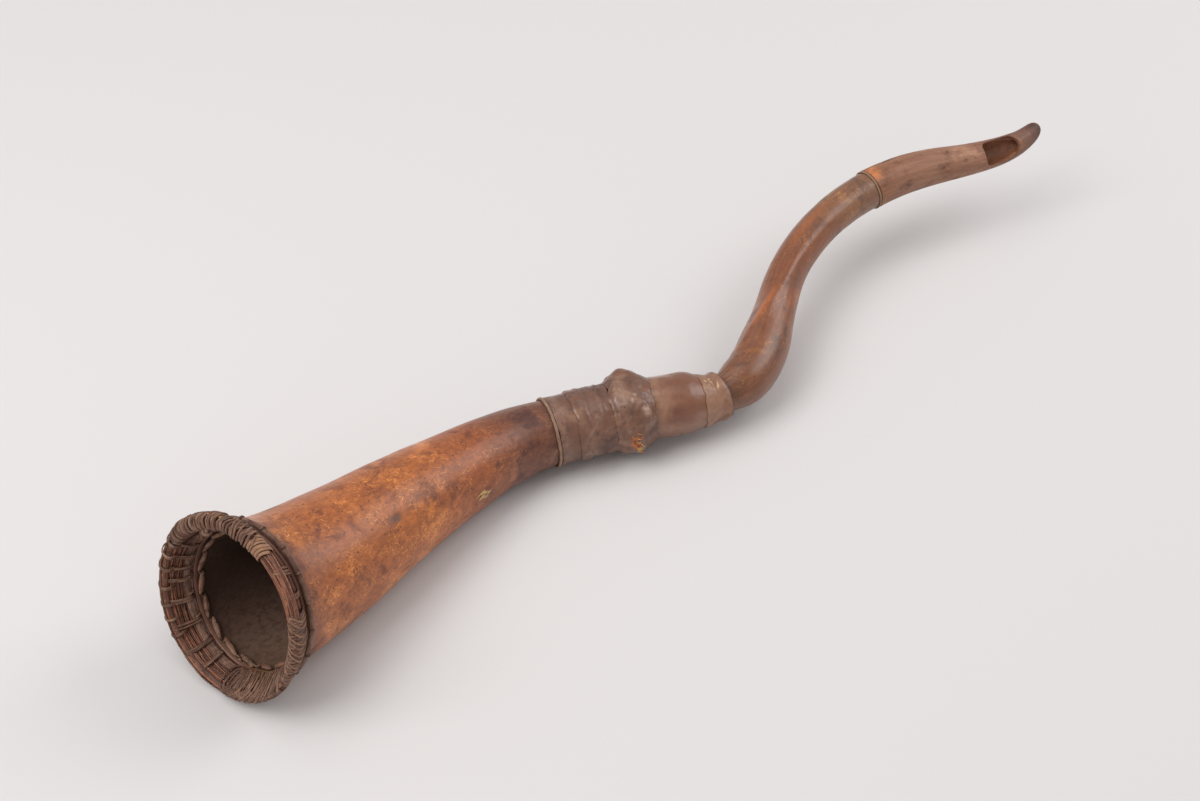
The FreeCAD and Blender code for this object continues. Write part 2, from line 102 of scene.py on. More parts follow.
def sector(angle: float, middle: float, width: float) -> float:
    """A bell curve round the spine, of height 1 at its middle angle; all three are in degrees."""
    return bump(turn_gap(angle, middle), 0.0, width)


def clamp(value: float) -> float:
    """A value held between 0 and 1."""
    return min(1.0, max(0.0, value))


def rough(x: float, y: float, z: float = 0.0, octaves: int = 3) -> float:
    """Fractal noise, about -1 to 1, the same in each run."""
    return noise.fractal(Vector((x, y, z)), 0.9, 2.1, octaves)


class Spot(NamedTuple):
    """One point of a woven sheet."""

    place: Vector
    laid: Vector
    wear_and_painted_light: float = 0.0
    stain_and_painted_light: float = 0.0


# ---------------------------------------------------------------- the horn's own line and outlines
@dataclass(frozen=True)
class Spine:
    """The line that the horn hangs on, with the outlines of its three tubes, in millimetres.

    Distances count from a station just inside the bell's lip.
    """

    lip: float = -8.5
    bell: float = 378.0
    neck: float = 360.0
    mouth: float = 179.0
    wall: float = 4.6
    bell_bends: tuple = ((0.00, 8.9, -19.0), (0.13, 6.0, -7.4), (0.29, 8.4, -5.8), (0.48, 6.2, -6.9),
                         (0.66, 0.5, -5.0), (0.82, -19.1, 0.6), (0.98, -25.2, 2.9))
    neck_bends: tuple = ((0.14, -27.6, -1.7), (0.28, 5.7, 2.1), (0.41, 31.1, 8.3), (0.56, 34.3, 10.2),
                         (0.73, 18.5, 10.0), (0.89, 4.2, 5.7))
    mouth_bends: tuple = ((0.12, -9.7, 2.2), (0.46, -26.2, 2.2), (0.74, -19.0, 6.6), (1.00, 15.0, 12.9))

    @property
    def joint(self) -> float:
        """Where the neck meets the bell."""
        return self.bell

    @property
    def socket(self) -> float:
        """Where the mouth tube begins."""
        return self.bell + self.neck

    @property
    def tip(self) -> float:
        """The far end of the horn."""
        return self.bell + self.neck + self.mouth

    @lru_cache(maxsize=None)
    def keys(self, column: int) -> tuple[Key, ...]:
        """The turn (1) or climb (2) as keys along the whole spine."""
        pieces = ((0.0, self.bell, self.bell_bends), (self.joint, self.neck, self.neck_bends),
                  (self.socket, self.mouth, self.mouth_bends))
        return tuple((start + share[0] * length, share[column])
                     for start, length, bends in pieces for share in bends)

    @lru_cache(maxsize=None)
    def heading(self, at: float) -> Vector:
        """Unit direction of the spine at a distance along it."""
        turn, climb = (math.radians(smooth(self.keys(k), at)) for k in (1, 2))
        return Vector((math.cos(climb) * math.cos(turn), math.cos(climb) * math.sin(turn),
                       math.sin(climb)))

    @lru_cache(maxsize=None)
    def walked(self) -> tuple[Vector, ...]:
        """Points one millimetre apart along the spine, from the centre of the lip."""
        points = [Vector((0.0, 0.0, 0.0))]
        for step in range(int(self.tip) + 1):
            points.append(points[-1] + self.heading(step + 0.5))
        return tuple(points)

    @lru_cache(maxsize=None)
    def centre(self, at: float) -> Vector:
        """Point on the spine, which runs on straight past both ends."""
        points = self.walked()
        if at <= 0:
            return points[0] + self.heading(0.0) * at
        i = min(int(at), int(self.tip))
        return points[i] + self.heading(min(at, self.tip)) * (at - i)

    @lru_cache(maxsize=None)
    def axes(self, at: float) -> tuple[Vector, Vector]:
        """Unit directions up and to the side, square to the spine."""
        along = self.heading(min(max(at, 0.0), self.tip))
        up = (Vector((0, 0, 1)) - along * along.z).normalized()
        return up, along.cross(up)

    def bell_radius(self, at: float) -> float:
        """Outside radius of the bell."""
        return smooth(((self.lip, 62.5), (150.75, 43.55), (310.0, 27.8), (378.0, 25.2)), at)

    def neck_radius(self, at: float) -> float:
        """Outside radius of the neck."""
        start, length = self.joint, self.neck
        return smooth(((start, 24.6), (start + 14, 24.6), (start + 0.13 * length, 23.86),
                       (start + 0.225 * length, 16.4), (start + 0.30 * length, 21.6),
                       (start + 0.40 * length, 22.4), (start + 0.54 * length, 18.4),
                       (start + 0.70 * length, 16.8), (start + 0.84 * length, 16.8),
                       (start + length, 17.2)), at)

    def body_radius(self, at: float) -> float:
        """Outside radius of whatever gourd lies under the hide."""
        return self.bell_radius(at) if at < self.joint else self.neck_radius(at)


SPINE = Spine()
HIDE_EDGE = 310.0   # where the hide begins on the bell
HIDE_THICK = 1.3
FIT = 0.3           # clearance between pieces that lie on one another
THONG_AT = HIDE_EDGE - HIDE_THICK - FIT
# the thong is a ring, so its box is centred on the spine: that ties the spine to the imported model
THONG_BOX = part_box("edge_thong")
ORIGIN = (THONG_BOX[0] + THONG_BOX[1]) / 2 / MM - SPINE.centre(THONG_AT)


def on_horn(at: float, angle: float, radius: float) -> Vector:
    """A point of the horn in metres.

    Args:
        at: distance along the spine.
        angle: degrees round the spine, from the top towards -Y.
        radius: distance from the spine.

    Returns:
        The point in the row frame.
    """
    up, side = SPINE.axes(at)
    turn = math.radians(angle)
    return (ORIGIN + SPINE.centre(at) + (up * math.cos(turn) + side * math.sin(turn)) * radius) * MM


def unrolled(at: float, angle: float, radius: float) -> Vector:
    """The same point on the horn laid out straight, which patterns of colour and grain follow."""
    turn = math.radians(angle)
    return Vector((radius * math.cos(turn), radius * math.sin(turn), at)) * MM


@dataclass(frozen=True)
class Mouth:
    """Directions at the bell's lip, where the collar sits."""

    out: Vector
    up: Vector
    left: Vector

    @classmethod
    def of(cls, spine: Spine) -> "Mouth":
        """The mouth at the front end of a spine."""
        inward = spine.heading(0.0)
        up = (Vector((0, 0, 1)) - inward * inward.z).normalized()
        return cls(-inward, up, (-inward).cross(up))

    def spot(self, angle: float, radius: float, forward: float) -> Vector:
        """A point round the mouth, in metres."""
        turn = math.radians(angle)
        return (ORIGIN + SPINE.centre(SPINE.lip) + self.out * forward
                + (self.up * math.cos(turn) + self.left * math.sin(turn)) * radius) * MM


MOUTH = Mouth.of(SPINE)


# ---------------------------------------------------------------- making meshes
def mesh_data(mesh: bmesh.types.BMesh, name: str) -> bpy.types.Mesh:
    """Turns a mesh under edit into named mesh data and frees it."""
    data = bpy.data.meshes.new(name)
    mesh.to_mesh(data)
    mesh.free()
    return data


def in_scene(name: str, data: bpy.types.ID) -> bpy.types.Object:
    """A new object in the scene that holds a mesh, a light or a camera."""
    item = bpy.data.objects.new(name, data)
    bpy.context.scene.collection.objects.link(item)
    return item


class Loom:
    """Weaves one mesh out of sheets, each a grid laid on a surface, with its wear and stains, which at some
    places carry painted shade, painted highlights and painted light instead.
    """

    def __init__(self) -> None:
        """Starts an empty mesh with its attributes."""
        self.mesh = bmesh.new()
        layers = self.mesh.verts.layers
        self.laid = layers.float_vector.new("laid")
        self.wear_and_painted_light = layers.float.new("wear_and_painted_light")
        self.stain_and_painted_light = layers.float.new("stain_and_painted_light")

    def weave(self, around: int, rows: Sequence, place: Callable[[float, object], Spot],
              slot: int = 0) -> None:
        """Lays a grid on a surface and welds its seams and poles.

        Args:
            around: faces round the sheet.
            rows: one item per row of points, handed to place.
            place: gives the spot for a share of the way round, from 0 to 1, and a row.
            slot: material index of the faces.
        """
        last = len(rows) - 1
        made = bmesh.ops.create_grid(self.mesh, x_segments=around, y_segments=last, size=0.5)
        for vert in made["verts"]:
            share = round((vert.co.x + 0.5) * around) / around
            spot = place(share, rows[round((vert.co.y + 0.5) * last)])
            vert.co = spot.place
            vert[self.laid] = spot.laid
            vert[self.wear_and_painted_light] = spot.wear_and_painted_light
            vert[self.stain_and_painted_light] = spot.stain_and_painted_light
        faces = {face for vert in made["verts"] for face in vert.link_faces}
        for face in faces:
            face.material_index = slot
        bmesh.ops.remove_doubles(self.mesh, verts=made["verts"], dist=1e-6)

    def strand(self, path: Callable[[float], tuple[Vector, Vector]], steps: int, sides: int,
               size: Callable[[float], tuple[float, float]], closed: bool = False, seed: float = 0.0,
               wear_and_painted_light: float = 0.0, stain_and_painted_light: float = 0.0, slot: int = 0, square: float = 1.0) -> None:
        """Weaves a rod, strip or thread along a path.

        Args:
            path: gives the point in metres and the outward direction at a share of the way.
            steps: faces along it.
            sides: faces round it.
            size: gives the half width and half thickness in millimetres at a share of the way.
            closed: whether the path comes back to its start.
            seed: shifts the pattern of colour, so that neighbours differ.
            wear_and_painted_light: how worn it is, from 0 to 1.
            stain_and_painted_light: how stained it is, from 0 to 1; on the lacing's legs and hooks it is
                painted shade.
            slot: material index of the faces.
            square: under 1, the section is a flat strip with rounded edges.
        """
        nudge = 0.25 / steps
        shares = [k / steps for k in range(steps + 1)]
        if not closed:
            shares = [0.0, 0.0, *shares, 1.0, 1.0]
        length = 0.0
        rows = []
        before: Optional[Vector] = None
        for k, share in enumerate(shares):
            point, outward = path(share)
            ahead, behind = path(share + nudge)[0], path(share - nudge)[0]
            along = (ahead - behind).normalized()
            side = along.cross(outward).normalized()
            length += (point - before).length if before else 0.0
            before = point
            end = k in (0, len(shares) - 1) and not closed
            blunt = 0.72 if k in (1, len(shares) - 2) and not closed else 1.0
            wide, thick = size(min(max(share, 0.0), 1.0))
            scale = 0.0 if end else blunt
            rows.append((point, side * wide * scale * MM, side.cross(along) * thick * scale * MM, length))

        def place(share: float, row: tuple) -> Spot:
            """One spot of the rod's skin."""
            point, across, rise, far = row
            c, s = math.cos(share * TAU), math.sin(share * TAU)
            c = math.copysign(abs(c) ** square, c)
            s = math.copysign(abs(s) ** square, s)
            offset = across * c + rise * s
            laid = Vector((across.length * c + seed * 0.37, rise.length * s + seed * 0.11, far + seed))
            fade = 1.0 if s > -0.2 else 0.6
            return Spot(point + offset, laid, wear_and_painted_light * fade, stain_and_painted_light)

        self.weave(sides, rows, place, slot)

    def finish(self, name: str, finishes: Sequence["Finish"], replaces: Iterable[str] = (),
               slot: str = "gourd") -> bpy.types.Object:
        """Closes the mesh and makes the piece, which rides on the horn.

        Args:
            name: the piece's name.
            finishes: one finish per material index.
            replaces: CAD nodes that the piece stands for.
            slot: not used.

        Returns:
            The new object.
        """
        bmesh.ops.recalc_face_normals(self.mesh, faces=self.mesh.faces)
        for face in self.mesh.faces:
            face.smooth = True
        data = mesh_data(self.mesh, name)
        piece = in_scene(name, data)
        for finish in finishes:
            data.materials.append(finish.material())
        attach(piece, "root")
        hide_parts(*replaces)
        LOG.info("%s: %d faces, in place of %s", name, len(data.polygons), list(replaces))
        return piece


# ---------------------------------------------------------------- shader groups
class Effect(Enum):
    """The surface effects that the finishes share, each a node group."""

    PATCHES = "patches"
    FIBRES = "fibres"
    SPECKS = "specks"
    SCRATCHES = "scratches"


def tint(red: float, green: float, blue: float) -> tuple[float, float, float, float]:
    """A linear colour from display values of 0 to 255."""
    def linear(value: float) -> float:
        """One channel."""
        c = value / 255.0
        return c / 12.92 if c <= 0.04045 else ((c + 0.055) / 1.055) ** 2.4

    return (linear(red), linear(green), linear(blue), 1.0)


class Nodes:
    """Places and links nodes in one tree."""

    def __init__(self, tree: bpy.types.NodeTree) -> None:
        """Works on a tree that is empty or is to be added to."""
        self.tree = tree

    def add(self, kind: str, inputs: Optional[dict] = None, **settings: object) -> bpy.types.Node:
        """Adds a node.

        Args:
            kind: the node's type name without its ShaderNode prefix.
            inputs: values or sockets by the input's name or index.
            settings: the node's own settings.

        Returns:
            The new node.
        """
        node = self.tree.nodes.new("ShaderNode" + kind)
        for name, value in settings.items():
            setattr(node, name, value)
        for name, value in (inputs or {}).items():
            socket = node.inputs[name]
            if isinstance(value, bpy.types.NodeSocket):
                self.tree.links.new(value, socket)
            else:
                socket.default_value = value
        return node

    def math(self, operation: str, *values: object) -> bpy.types.NodeSocket:
        """A number worked out from others."""
        return self.add("Math", dict(enumerate(values)), operation=operation).outputs[0]

    def span(self, value: bpy.types.NodeSocket, low: object, high: object, to_low: float = 0.0,
             to_high: float = 1.0) -> bpy.types.NodeSocket:
        """A value between low and high, moved softly into another span."""
        node = self.add("MapRange", {"Value": value, "From Min": low, "From Max": high,
                                     "To Min": to_low, "To Max": to_high},
                        interpolation_type="SMOOTHSTEP")
        return node.outputs["Result"]

    def stretch(self, vector: object, x: object, y: object, z: object) -> bpy.types.NodeSocket:
        """A vector with each part scaled."""
        scale = self.add("CombineXYZ", {"X": x, "Y": y, "Z": z}).outputs[0]
        return self.add("VectorMath", {0: vector, 1: scale}, operation="MULTIPLY").outputs[0]

    def mix(self, share: object, base: object, over: object, blend: str = "MIX") -> bpy.types.NodeSocket:
        """One colour laid over another."""
        node = self.add("Mix", data_type="RGBA", blend_type=blend)
        for index, value in ((0, share), (6, base), (7, over)):
            if isinstance(value, bpy.types.NodeSocket):
                self.tree.links.new(value, node.inputs[index])
            else:
                node.inputs[index].default_value = value
        return node.outputs[2]

    def effect(self, which: Effect, vector: bpy.types.NodeSocket, **values: float) -> bpy.types.NodeSocket:
        """Places a shared effect with its own values and gives its mask."""
        group = self.add("Group", node_tree=effect_group(which))
        self.tree.links.new(vector, group.inputs["Vector"])
        for name, value in values.items():
            group.inputs[name.capitalize()].default_value = value
        return group.outputs["Mask"]


@lru_cache(maxsize=None)
def effect_group(which: Effect) -> bpy.types.NodeTree:
    """Builds a shared effect once.

    Args:
        which: the effect.

    Returns:
        Its node group, with a Vector input, its own values and a Mask output.
    """
    values = {Effect.PATCHES: {"Scale": 20.0, "Low": 0.4, "High": 0.6},
              Effect.FIBRES: {"Across": 900.0, "Along": 60.0, "Low": 0.35, "High": 0.65},
              Effect.SPECKS: {"Scale": 300.0, "Size": 0.2, "Share": 0.5},
              Effect.SCRATCHES: {"Scale": 60.0, "Low": 0.6, "High": 0.68}}[which]
    tree = bpy.data.node_groups.new(which.value, "ShaderNodeTree")
    tree.interface.new_socket("Vector", in_out="INPUT", socket_type="NodeSocketVector")
    for name, value in values.items():
        socket = tree.interface.new_socket(name, in_out="INPUT", socket_type="NodeSocketFloat")
        socket.default_value = value
    tree.interface.new_socket("Mask", in_out="OUTPUT", socket_type="NodeSocketFloat")
    source = tree.nodes.new("NodeGroupInput")
    sink = tree.nodes.new("NodeGroupOutput")
    get = source.outputs
    kit = Nodes(tree)
    if which is Effect.PATCHES:
        cloud = kit.add("TexNoise", {"Vector": get["Vector"], "Scale": get["Scale"], "Detail": 6.0,
                                     "Roughness": 0.62, "Distortion": 0.6})
        mask = kit.span(cloud.outputs["Fac"], get["Low"], get["High"])
    elif which is Effect.FIBRES:
        drawn = kit.stretch(get["Vector"], get["Across"], get["Across"], get["Along"])
        cloud = kit.add("TexNoise", {"Vector": drawn, "Scale": 1.0, "Detail": 4.0, "Roughness": 0.6})
        mask = kit.span(cloud.outputs["Fac"], get["Low"], get["High"])
    elif which is Effect.SPECKS:
        cells = kit.add("TexVoronoi", {"Vector": get["Vector"], "Scale": get["Scale"]})
        chance = kit.add("SeparateColor", {"Color": cells.outputs["Color"]}).outputs[0]
        kept = kit.math("LESS_THAN", chance, get["Share"])
        near = kit.span(cells.outputs["Distance"], get["Size"], kit.math("MULTIPLY", get["Size"], 0.4))
        mask = kit.math("MULTIPLY", near, kept)
    else:
        marks = []
        for turn in (0.5, -0.35, 1.3):
            turned = kit.add("VectorRotate", {"Vector": get["Vector"], "Angle": turn,
                                              "Axis": (1.0, 0.6, 0.2)})
            drawn = kit.stretch(turned.outputs[0], get["Scale"], get["Scale"],
                                kit.math("MULTIPLY", get["Scale"], 0.14))
            cloud = kit.add("TexNoise", {"Vector": drawn, "Scale": 16.0, "Detail": 2.0})
            marks.append(kit.span(cloud.outputs["Fac"], get["Low"], get["High"]))
        mask = kit.math("MAXIMUM", kit.math("MAXIMUM", marks[0], marks[1]), marks[2])
        patch = kit.add("TexNoise", {"Vector": get["Vector"], "Scale": get["Scale"], "Detail": 2.0})
        mask = kit.math("MULTIPLY", mask, kit.span(patch.outputs["Fac"], 0.38, 0.6))
    tree.links.new(mask, sink.inputs["Mask"])
    return tree


# ---------------------------------------------------------------- finishes
@dataclass(frozen=True)
class Finish:
    """A finish of the horn: its colours, its patterns and its gloss.

    Sizes of patterns are counts per metre. Colours are linear.
    """

    name: str
    base: tuple
    light: tuple
    dark: tuple
    worn: tuple
    stained_and_painted_light: tuple
    light_scale: float = 30.0
    light_low: float = 0.45
    light_high: float = 0.62
    dark_scale: float = 70.0
    dark_low: float = 0.5
    dark_high: float = 0.68
    dark_share: float = 0.7
    fibre_across: float = 900.0
    fibre_along: float = 50.0
    fibre_share: float = 0.25
    speck: tuple = tint(60, 36, 26)
    speck_scale: float = 420.0
    speck_size: float = 0.16
    speck_share: float = 0.25
    dust: tuple = tint(205, 185, 160)
    dust_scale: float = 160.0
    dust_share: float = 0.05
    mark: tuple = tint(190, 130, 80)
    mark_scale: float = 60.0
    mark_share: float = 0.0
    rough: float = 0.5
    rough_spread: float = 0.15
    coat: float = 0.0
    lift: float = 0.25
    lift_reach: float = 0.0006
    on_object: bool = False

    def material(self) -> bpy.types.Material:
        """The finish as a material, made once."""
        return bpy.data.materials.get(self.name) or self.mixed()

    def mixed(self) -> bpy.types.Material:
        """Builds the material.

        Returns:
            A material whose colour, roughness and bump vary over the surface.
        """
        material = bpy.data.materials.new(self.name)
        material.use_nodes = True
        material.node_tree.nodes.clear()
        kit = Nodes(material.node_tree)
        where = self.where(kit)
        light = kit.effect(Effect.PATCHES, where, scale=self.light_scale, low=self.light_low,
                           high=self.light_high)
        dark = kit.effect(Effect.PATCHES, where, scale=self.dark_scale, low=self.dark_low,
                          high=self.dark_high)
        fibre = kit.effect(Effect.FIBRES, where, across=self.fibre_across, along=self.fibre_along)
        speck = kit.effect(Effect.SPECKS, where, scale=self.speck_scale, size=self.speck_size,
                           share=self.speck_share)
        dust = kit.effect(Effect.SPECKS, where, scale=self.dust_scale, size=0.09, share=self.dust_share)
        colour = kit.mix(light, self.ground(kit, where), self.against_base(self.light), "MULTIPLY")
        colour = kit.mix(kit.math("MULTIPLY", dark, self.dark_share), colour,
                         self.against_base(self.dark), "MULTIPLY")
        colour = kit.mix(kit.math("MULTIPLY", fibre, self.fibre_share), colour,
                         self.against_base(self.dark), "MULTIPLY")
        if self.mark_share:
            mark = kit.effect(Effect.SCRATCHES, where, scale=self.mark_scale)
            colour = kit.mix(kit.math("MULTIPLY", mark, self.mark_share), colour,
                             self.against_base(self.mark), "MULTIPLY")
        colour = kit.mix(kit.math("MULTIPLY", speck, 0.75), colour, self.speck)
        colour = kit.mix(kit.math("MULTIPLY", dust, 0.8), colour, self.dust)
        broken = kit.effect(Effect.PATCHES, where, scale=260.0, low=0.3, high=0.6)
        # The stain and wear colours go on here; at some places they are painted shade, painted highlights
        # or painted light rather than real stains and wear.
        for name, over in (("stain_and_painted_light", self.stained_and_painted_light), ("wear_and_painted_light", self.worn)):
            if self.on_object:
                break
            amount = kit.add("Attribute", attribute_name=name).outputs["Fac"]
            ragged = kit.math("MULTIPLY", amount, kit.math("MULTIPLY_ADD", broken, 0.5, 0.6))
            colour = kit.mix(kit.span(ragged, 0.1, 0.8), colour, over)
        gloss = kit.math("MULTIPLY_ADD", kit.math("SUBTRACT", dark, light), self.rough_spread, self.rough)
        height = kit.math("ADD", kit.math("MULTIPLY", fibre, -0.5), kit.math("MULTIPLY", dark, -0.4))
        height = kit.math("ADD", height, kit.math("MULTIPLY", kit.math("SUBTRACT", dust, speck), 0.4))
        relief = kit.add("Bump", {"Strength": self.lift, "Distance": self.lift_reach, "Height": height})
        surface = kit.add("BsdfPrincipled", {"Base Color": colour, "Roughness": gloss,
                                             "Normal": relief.outputs[0], "Coat Weight": self.coat,
                                             "Coat Roughness": 0.32})
        surface.inputs["Specular IOR Level"].default_value = 0.45
        kit.add("OutputMaterial", {"Surface": surface.outputs[0]})
        return material

    def against_base(self, colour: tuple) -> tuple:
        """How much lighter or darker a colour is than the base, channel by channel."""
        return tuple(c / b for c, b in zip(colour[:3], self.base[:3])) + (1.0,)

    def where(self, kit: Nodes) -> bpy.types.NodeSocket:
        """The place that the patterns follow: the straightened horn, or the object itself."""
        if self.on_object:
            return kit.add("TexCoord").outputs["Object"]
        return kit.add("Attribute", attribute_name="laid").outputs["Vector"]

    def ground(self, kit: Nodes, where: bpy.types.NodeSocket) -> object:
        """The colour under all the patterns."""
        return self.base


@dataclass(frozen=True)
class AgedFinish(Finish):
    """A finish whose ground colour also changes along the horn."""

    stops: tuple = ()

    def ground(self, kit: Nodes, where: bpy.types.NodeSocket) -> bpy.types.NodeSocket:
        """A ramp of colours along the spine, broken up by soft clouds."""
        at = kit.add("SeparateXYZ", {"Vector": where}).outputs["Z"]
        cloud = kit.add("TexNoise", {"Vector": where, "Scale": 18.0, "Detail": 3.0})
        wander = kit.math("MULTIPLY_ADD", cloud.outputs["Fac"], 0.09, -0.045)
        low, high = self.stops[0][0] * MM, self.stops[-1][0] * MM
        share = kit.add("MapRange", {"Value": kit.math("ADD", at, wander), "From Min": low,
                                     "From Max": high}).outputs["Result"]
        ramp = kit.add("ValToRGB", {"Fac": share})
        for k, (place, colour) in enumerate(self.stops):
            position = (place * MM - low) / (high - low)
            stop = ramp.color_ramp.elements[k] if k < 2 else ramp.color_ramp.elements.new(position)
            stop.position, stop.color = position, colour
        return ramp.outputs["Color"]


# Its stain colour also darkens the bell next to the collar: painted shade.
GOURD = AgedFinish(
    "bell_gourd_skin", tint(170, 98, 52), tint(204, 124, 66), tint(118, 62, 38), tint(196, 166, 106),
    tint(112, 70, 52), light_scale=30.0, light_low=0.5, light_high=0.7, dark_scale=44.0, dark_low=0.5,
    dark_high=0.66, dark_share=0.8, fibre_across=260.0, fibre_along=170.0, fibre_share=0.5,
    speck=tint(92, 46, 26), speck_scale=260.0, speck_size=0.32, speck_share=0.5, dust_scale=100.0,
    dust_share=0.05, mark=tint(224, 150, 86), mark_scale=60.0, mark_share=0.75, rough=0.4,
    rough_spread=0.12, coat=0.2, lift=0.2, lift_reach=0.0005,
    # The first stop, greyer and darker at the lip, is painted shade from the collar.
    stops=((-8.5, tint(118, 76, 58)), (10.0, tint(146, 84, 48)), (50.0, tint(172, 96, 46)),
           (150.0, tint(178, 100, 46)), (215.0, tint(160, 86, 42)), (262.0, tint(120, 70, 46)),
           (378.0, tint(96, 60, 45))))
# Its stain colour is the painted shade at the top and far end of the bore; its worn colour is the painted
# light on the bottom near the mouth.
INSIDE = Finish(
    "bell_gourd_inside", tint(72, 48, 37), tint(90, 64, 49), tint(54, 35, 27), tint(124, 96, 78),
    tint(42, 28, 22), light_scale=14.0, light_low=0.4, light_high=0.8, dark_scale=22.0, dark_low=0.4,
    dark_high=0.8, dark_share=0.6, fibre_share=0.1, speck_share=0.0, dust_scale=60.0, dust_share=0.02,
    rough=0.75, lift=0.3)
# Its worn colour is orange: the painted highlight along the ridge, and the rubbed streak near the top.
NECK = AgedFinish(
    "neck_gourd_skin", tint(120, 70, 46), tint(152, 92, 54), tint(78, 44, 30), tint(178, 98, 46),
    tint(96, 62, 44), light_scale=24.0, light_low=0.5, light_high=0.75, dark_scale=46.0, dark_low=0.5,
    dark_high=0.72, dark_share=0.75, fibre_across=420.0, fibre_along=32.0, fibre_share=0.35,
    speck_scale=260.0, speck_size=0.22, speck_share=0.25, dust_scale=100.0, dust_share=0.05,
    mark=tint(170, 116, 74), mark_scale=52.0, mark_share=0.45, rough=0.31, rough_spread=0.16, coat=0.3,
    lift=0.18,
    stops=((352.0, tint(110, 68, 48)), (455.0, tint(112, 69, 47)), (500.0, tint(126, 77, 50)),
           (560.0, tint(138, 80, 47)), (620.0, tint(136, 78, 47)), (680.0, tint(138, 88, 58)),
           (762.0, tint(128, 93, 72))))
# Its worn colour also lightens the inside of the hole: painted light.
MOUTH_WOOD = AgedFinish(
    "mouth_tube_wood", tint(160, 118, 96), tint(184, 142, 116), tint(122, 74, 56), tint(198, 122, 72),
    tint(92, 60, 46), light_scale=30.0, light_low=0.5, light_high=0.7, dark_scale=36.0, dark_low=0.52,
    dark_high=0.7, dark_share=0.65, fibre_across=420.0, fibre_along=26.0, fibre_share=0.4,
    speck=tint(92, 58, 46), speck_scale=300.0, speck_size=0.22, speck_share=0.25, dust_scale=130.0,
    dust_share=0.09, mark=tint(196, 156, 128), mark_scale=40.0, mark_share=0.3, rough=0.52, lift=0.3,
    stops=((738.0, tint(146, 98, 70)), (790.0, tint(154, 112, 88)), (846.0, tint(150, 106, 84)),
           (880.0, tint(122, 86, 68)), (904.0, tint(108, 72, 60)), (917.0, tint(74, 48, 42))))
# Its stain colour is pale: bare patches, and on the lump's middle boss a painted highlight.
HIDE = Finish(
    "dark_joint_hide", tint(116, 77, 58), tint(148, 110, 88), tint(76, 47, 36), tint(176, 96, 48),
    tint(164, 130, 110), light_scale=34.0, light_low=0.5, light_high=0.7, dark_scale=52.0,
    dark_low=0.48, dark_high=0.7, dark_share=0.75, fibre_across=150.0, fibre_along=120.0,
    fibre_share=0.25, speck_scale=260.0, speck_size=0.24, speck_share=0.3, dust_scale=140.0,
    dust_share=0.1, mark=tint(138, 106, 86), mark_scale=50.0, mark_share=0.2, rough=0.35,
    rough_spread=0.22, coat=0.35, lift=0.45, lift_reach=0.0008)
# Its stain colour darkens the rear sleeve in the groove behind the lump: painted shade.
SMOOTH_HIDE = Finish(
    "smooth_joint_hide", tint(126, 80, 58), tint(154, 114, 90), tint(96, 55, 40), tint(150, 78, 38),
    tint(80, 54, 44), light_scale=22.0, light_low=0.46, light_high=0.72, dark_scale=30.0,
    dark_share=0.6, fibre_across=130.0, fibre_along=60.0, fibre_share=0.2, speck_share=0.15,
    dust_scale=120.0, dust_share=0.05, mark=tint(140, 104, 84), mark_scale=44.0, mark_share=0.12,
    rough=0.29, rough_spread=0.16, coat=0.35, lift=0.25)
BAND_HIDE = Finish(
    "tan_band_hide", tint(138, 96, 74), tint(156, 116, 92), tint(96, 62, 48), tint(206, 172, 132),
    tint(70, 46, 36), light_scale=46.0, dark_scale=56.0, dark_share=0.6, fibre_across=200.0,
    fibre_along=140.0, fibre_share=0.25, speck_share=0.15, dust_scale=150.0, dust_share=0.08,
    mark=tint(176, 136, 104), mark_scale=50.0, mark_share=0.2, rough=0.45, coat=0.1, lift=0.35)
THONG = Finish(
    "thong_hide", tint(142, 112, 90), tint(160, 130, 106), tint(98, 70, 54), tint(176, 150, 124),
    tint(84, 60, 48), light_scale=60.0, dark_scale=120.0, rough=0.55, lift=0.3)
CANE = Finish(
    "split_cane", tint(118, 72, 52), tint(156, 102, 76), tint(68, 42, 32), tint(168, 108, 80),
    tint(76, 48, 37), light_scale=40.0, dark_scale=90.0, dark_share=0.6, fibre_across=1300.0,
    fibre_along=40.0, fibre_share=0.8, speck_share=0.15, dust_scale=180.0, dust_share=0.05, rough=0.5,
    lift=0.7)
# Its stain colour is also the painted shade on the lip hoop and on the lacing's hooks.
BARK = Finish(
    "bark_strip", tint(124, 86, 66), tint(160, 122, 98), tint(66, 42, 33), tint(166, 122, 92),
    tint(82, 52, 40), light_scale=70.0, light_low=0.42, light_high=0.62, dark_scale=120.0,
    dark_share=0.75, fibre_across=1300.0, fibre_along=90.0, fibre_share=0.7, speck_share=0.2,
    dust_scale=200.0, dust_share=0.07, rough=0.6, lift=0.7)
FRESH = Finish(
    "broken_fibre", tint(196, 128, 62), tint(222, 168, 84), tint(164, 72, 36), tint(206, 196, 110),
    tint(176, 62, 40), light_scale=120.0, dark_scale=160.0, fibre_across=1600.0, fibre_along=120.0,
    fibre_share=0.3, rough=0.6, lift=0.3)
GUM = Finish(
    "dark_gum", tint(58, 42, 34), tint(78, 58, 46), tint(38, 27, 22), tint(90, 66, 52),
    tint(40, 30, 26), light_scale=90.0, dark_scale=140.0, rough=0.5, lift=0.4)
INNER_FIBRE = Finish(
    "packing_fibre", tint(120, 92, 70), tint(150, 120, 92), tint(76, 54, 42), tint(120, 92, 70),
    tint(76, 54, 42), light_scale=80.0, fibre_across=900.0, fibre_along=900.0, rough=0.8, lift=0.6,
    on_object=True)
INNER_GUM = Finish(
    "inner_gum", tint(58, 42, 34), tint(78, 58, 46), tint(38, 27, 22), tint(90, 66, 52),
    tint(40, 30, 26), light_scale=90.0, dark_scale=140.0, rough=0.5, lift=0.4, on_object=True)
INNER_BIT = replace(BARK, name="dry_bark_bit", worn=tint(156, 122, 92))


# ---------------------------------------------------------------- the gourds and the mouth tube
Row = tuple[float, float, int]


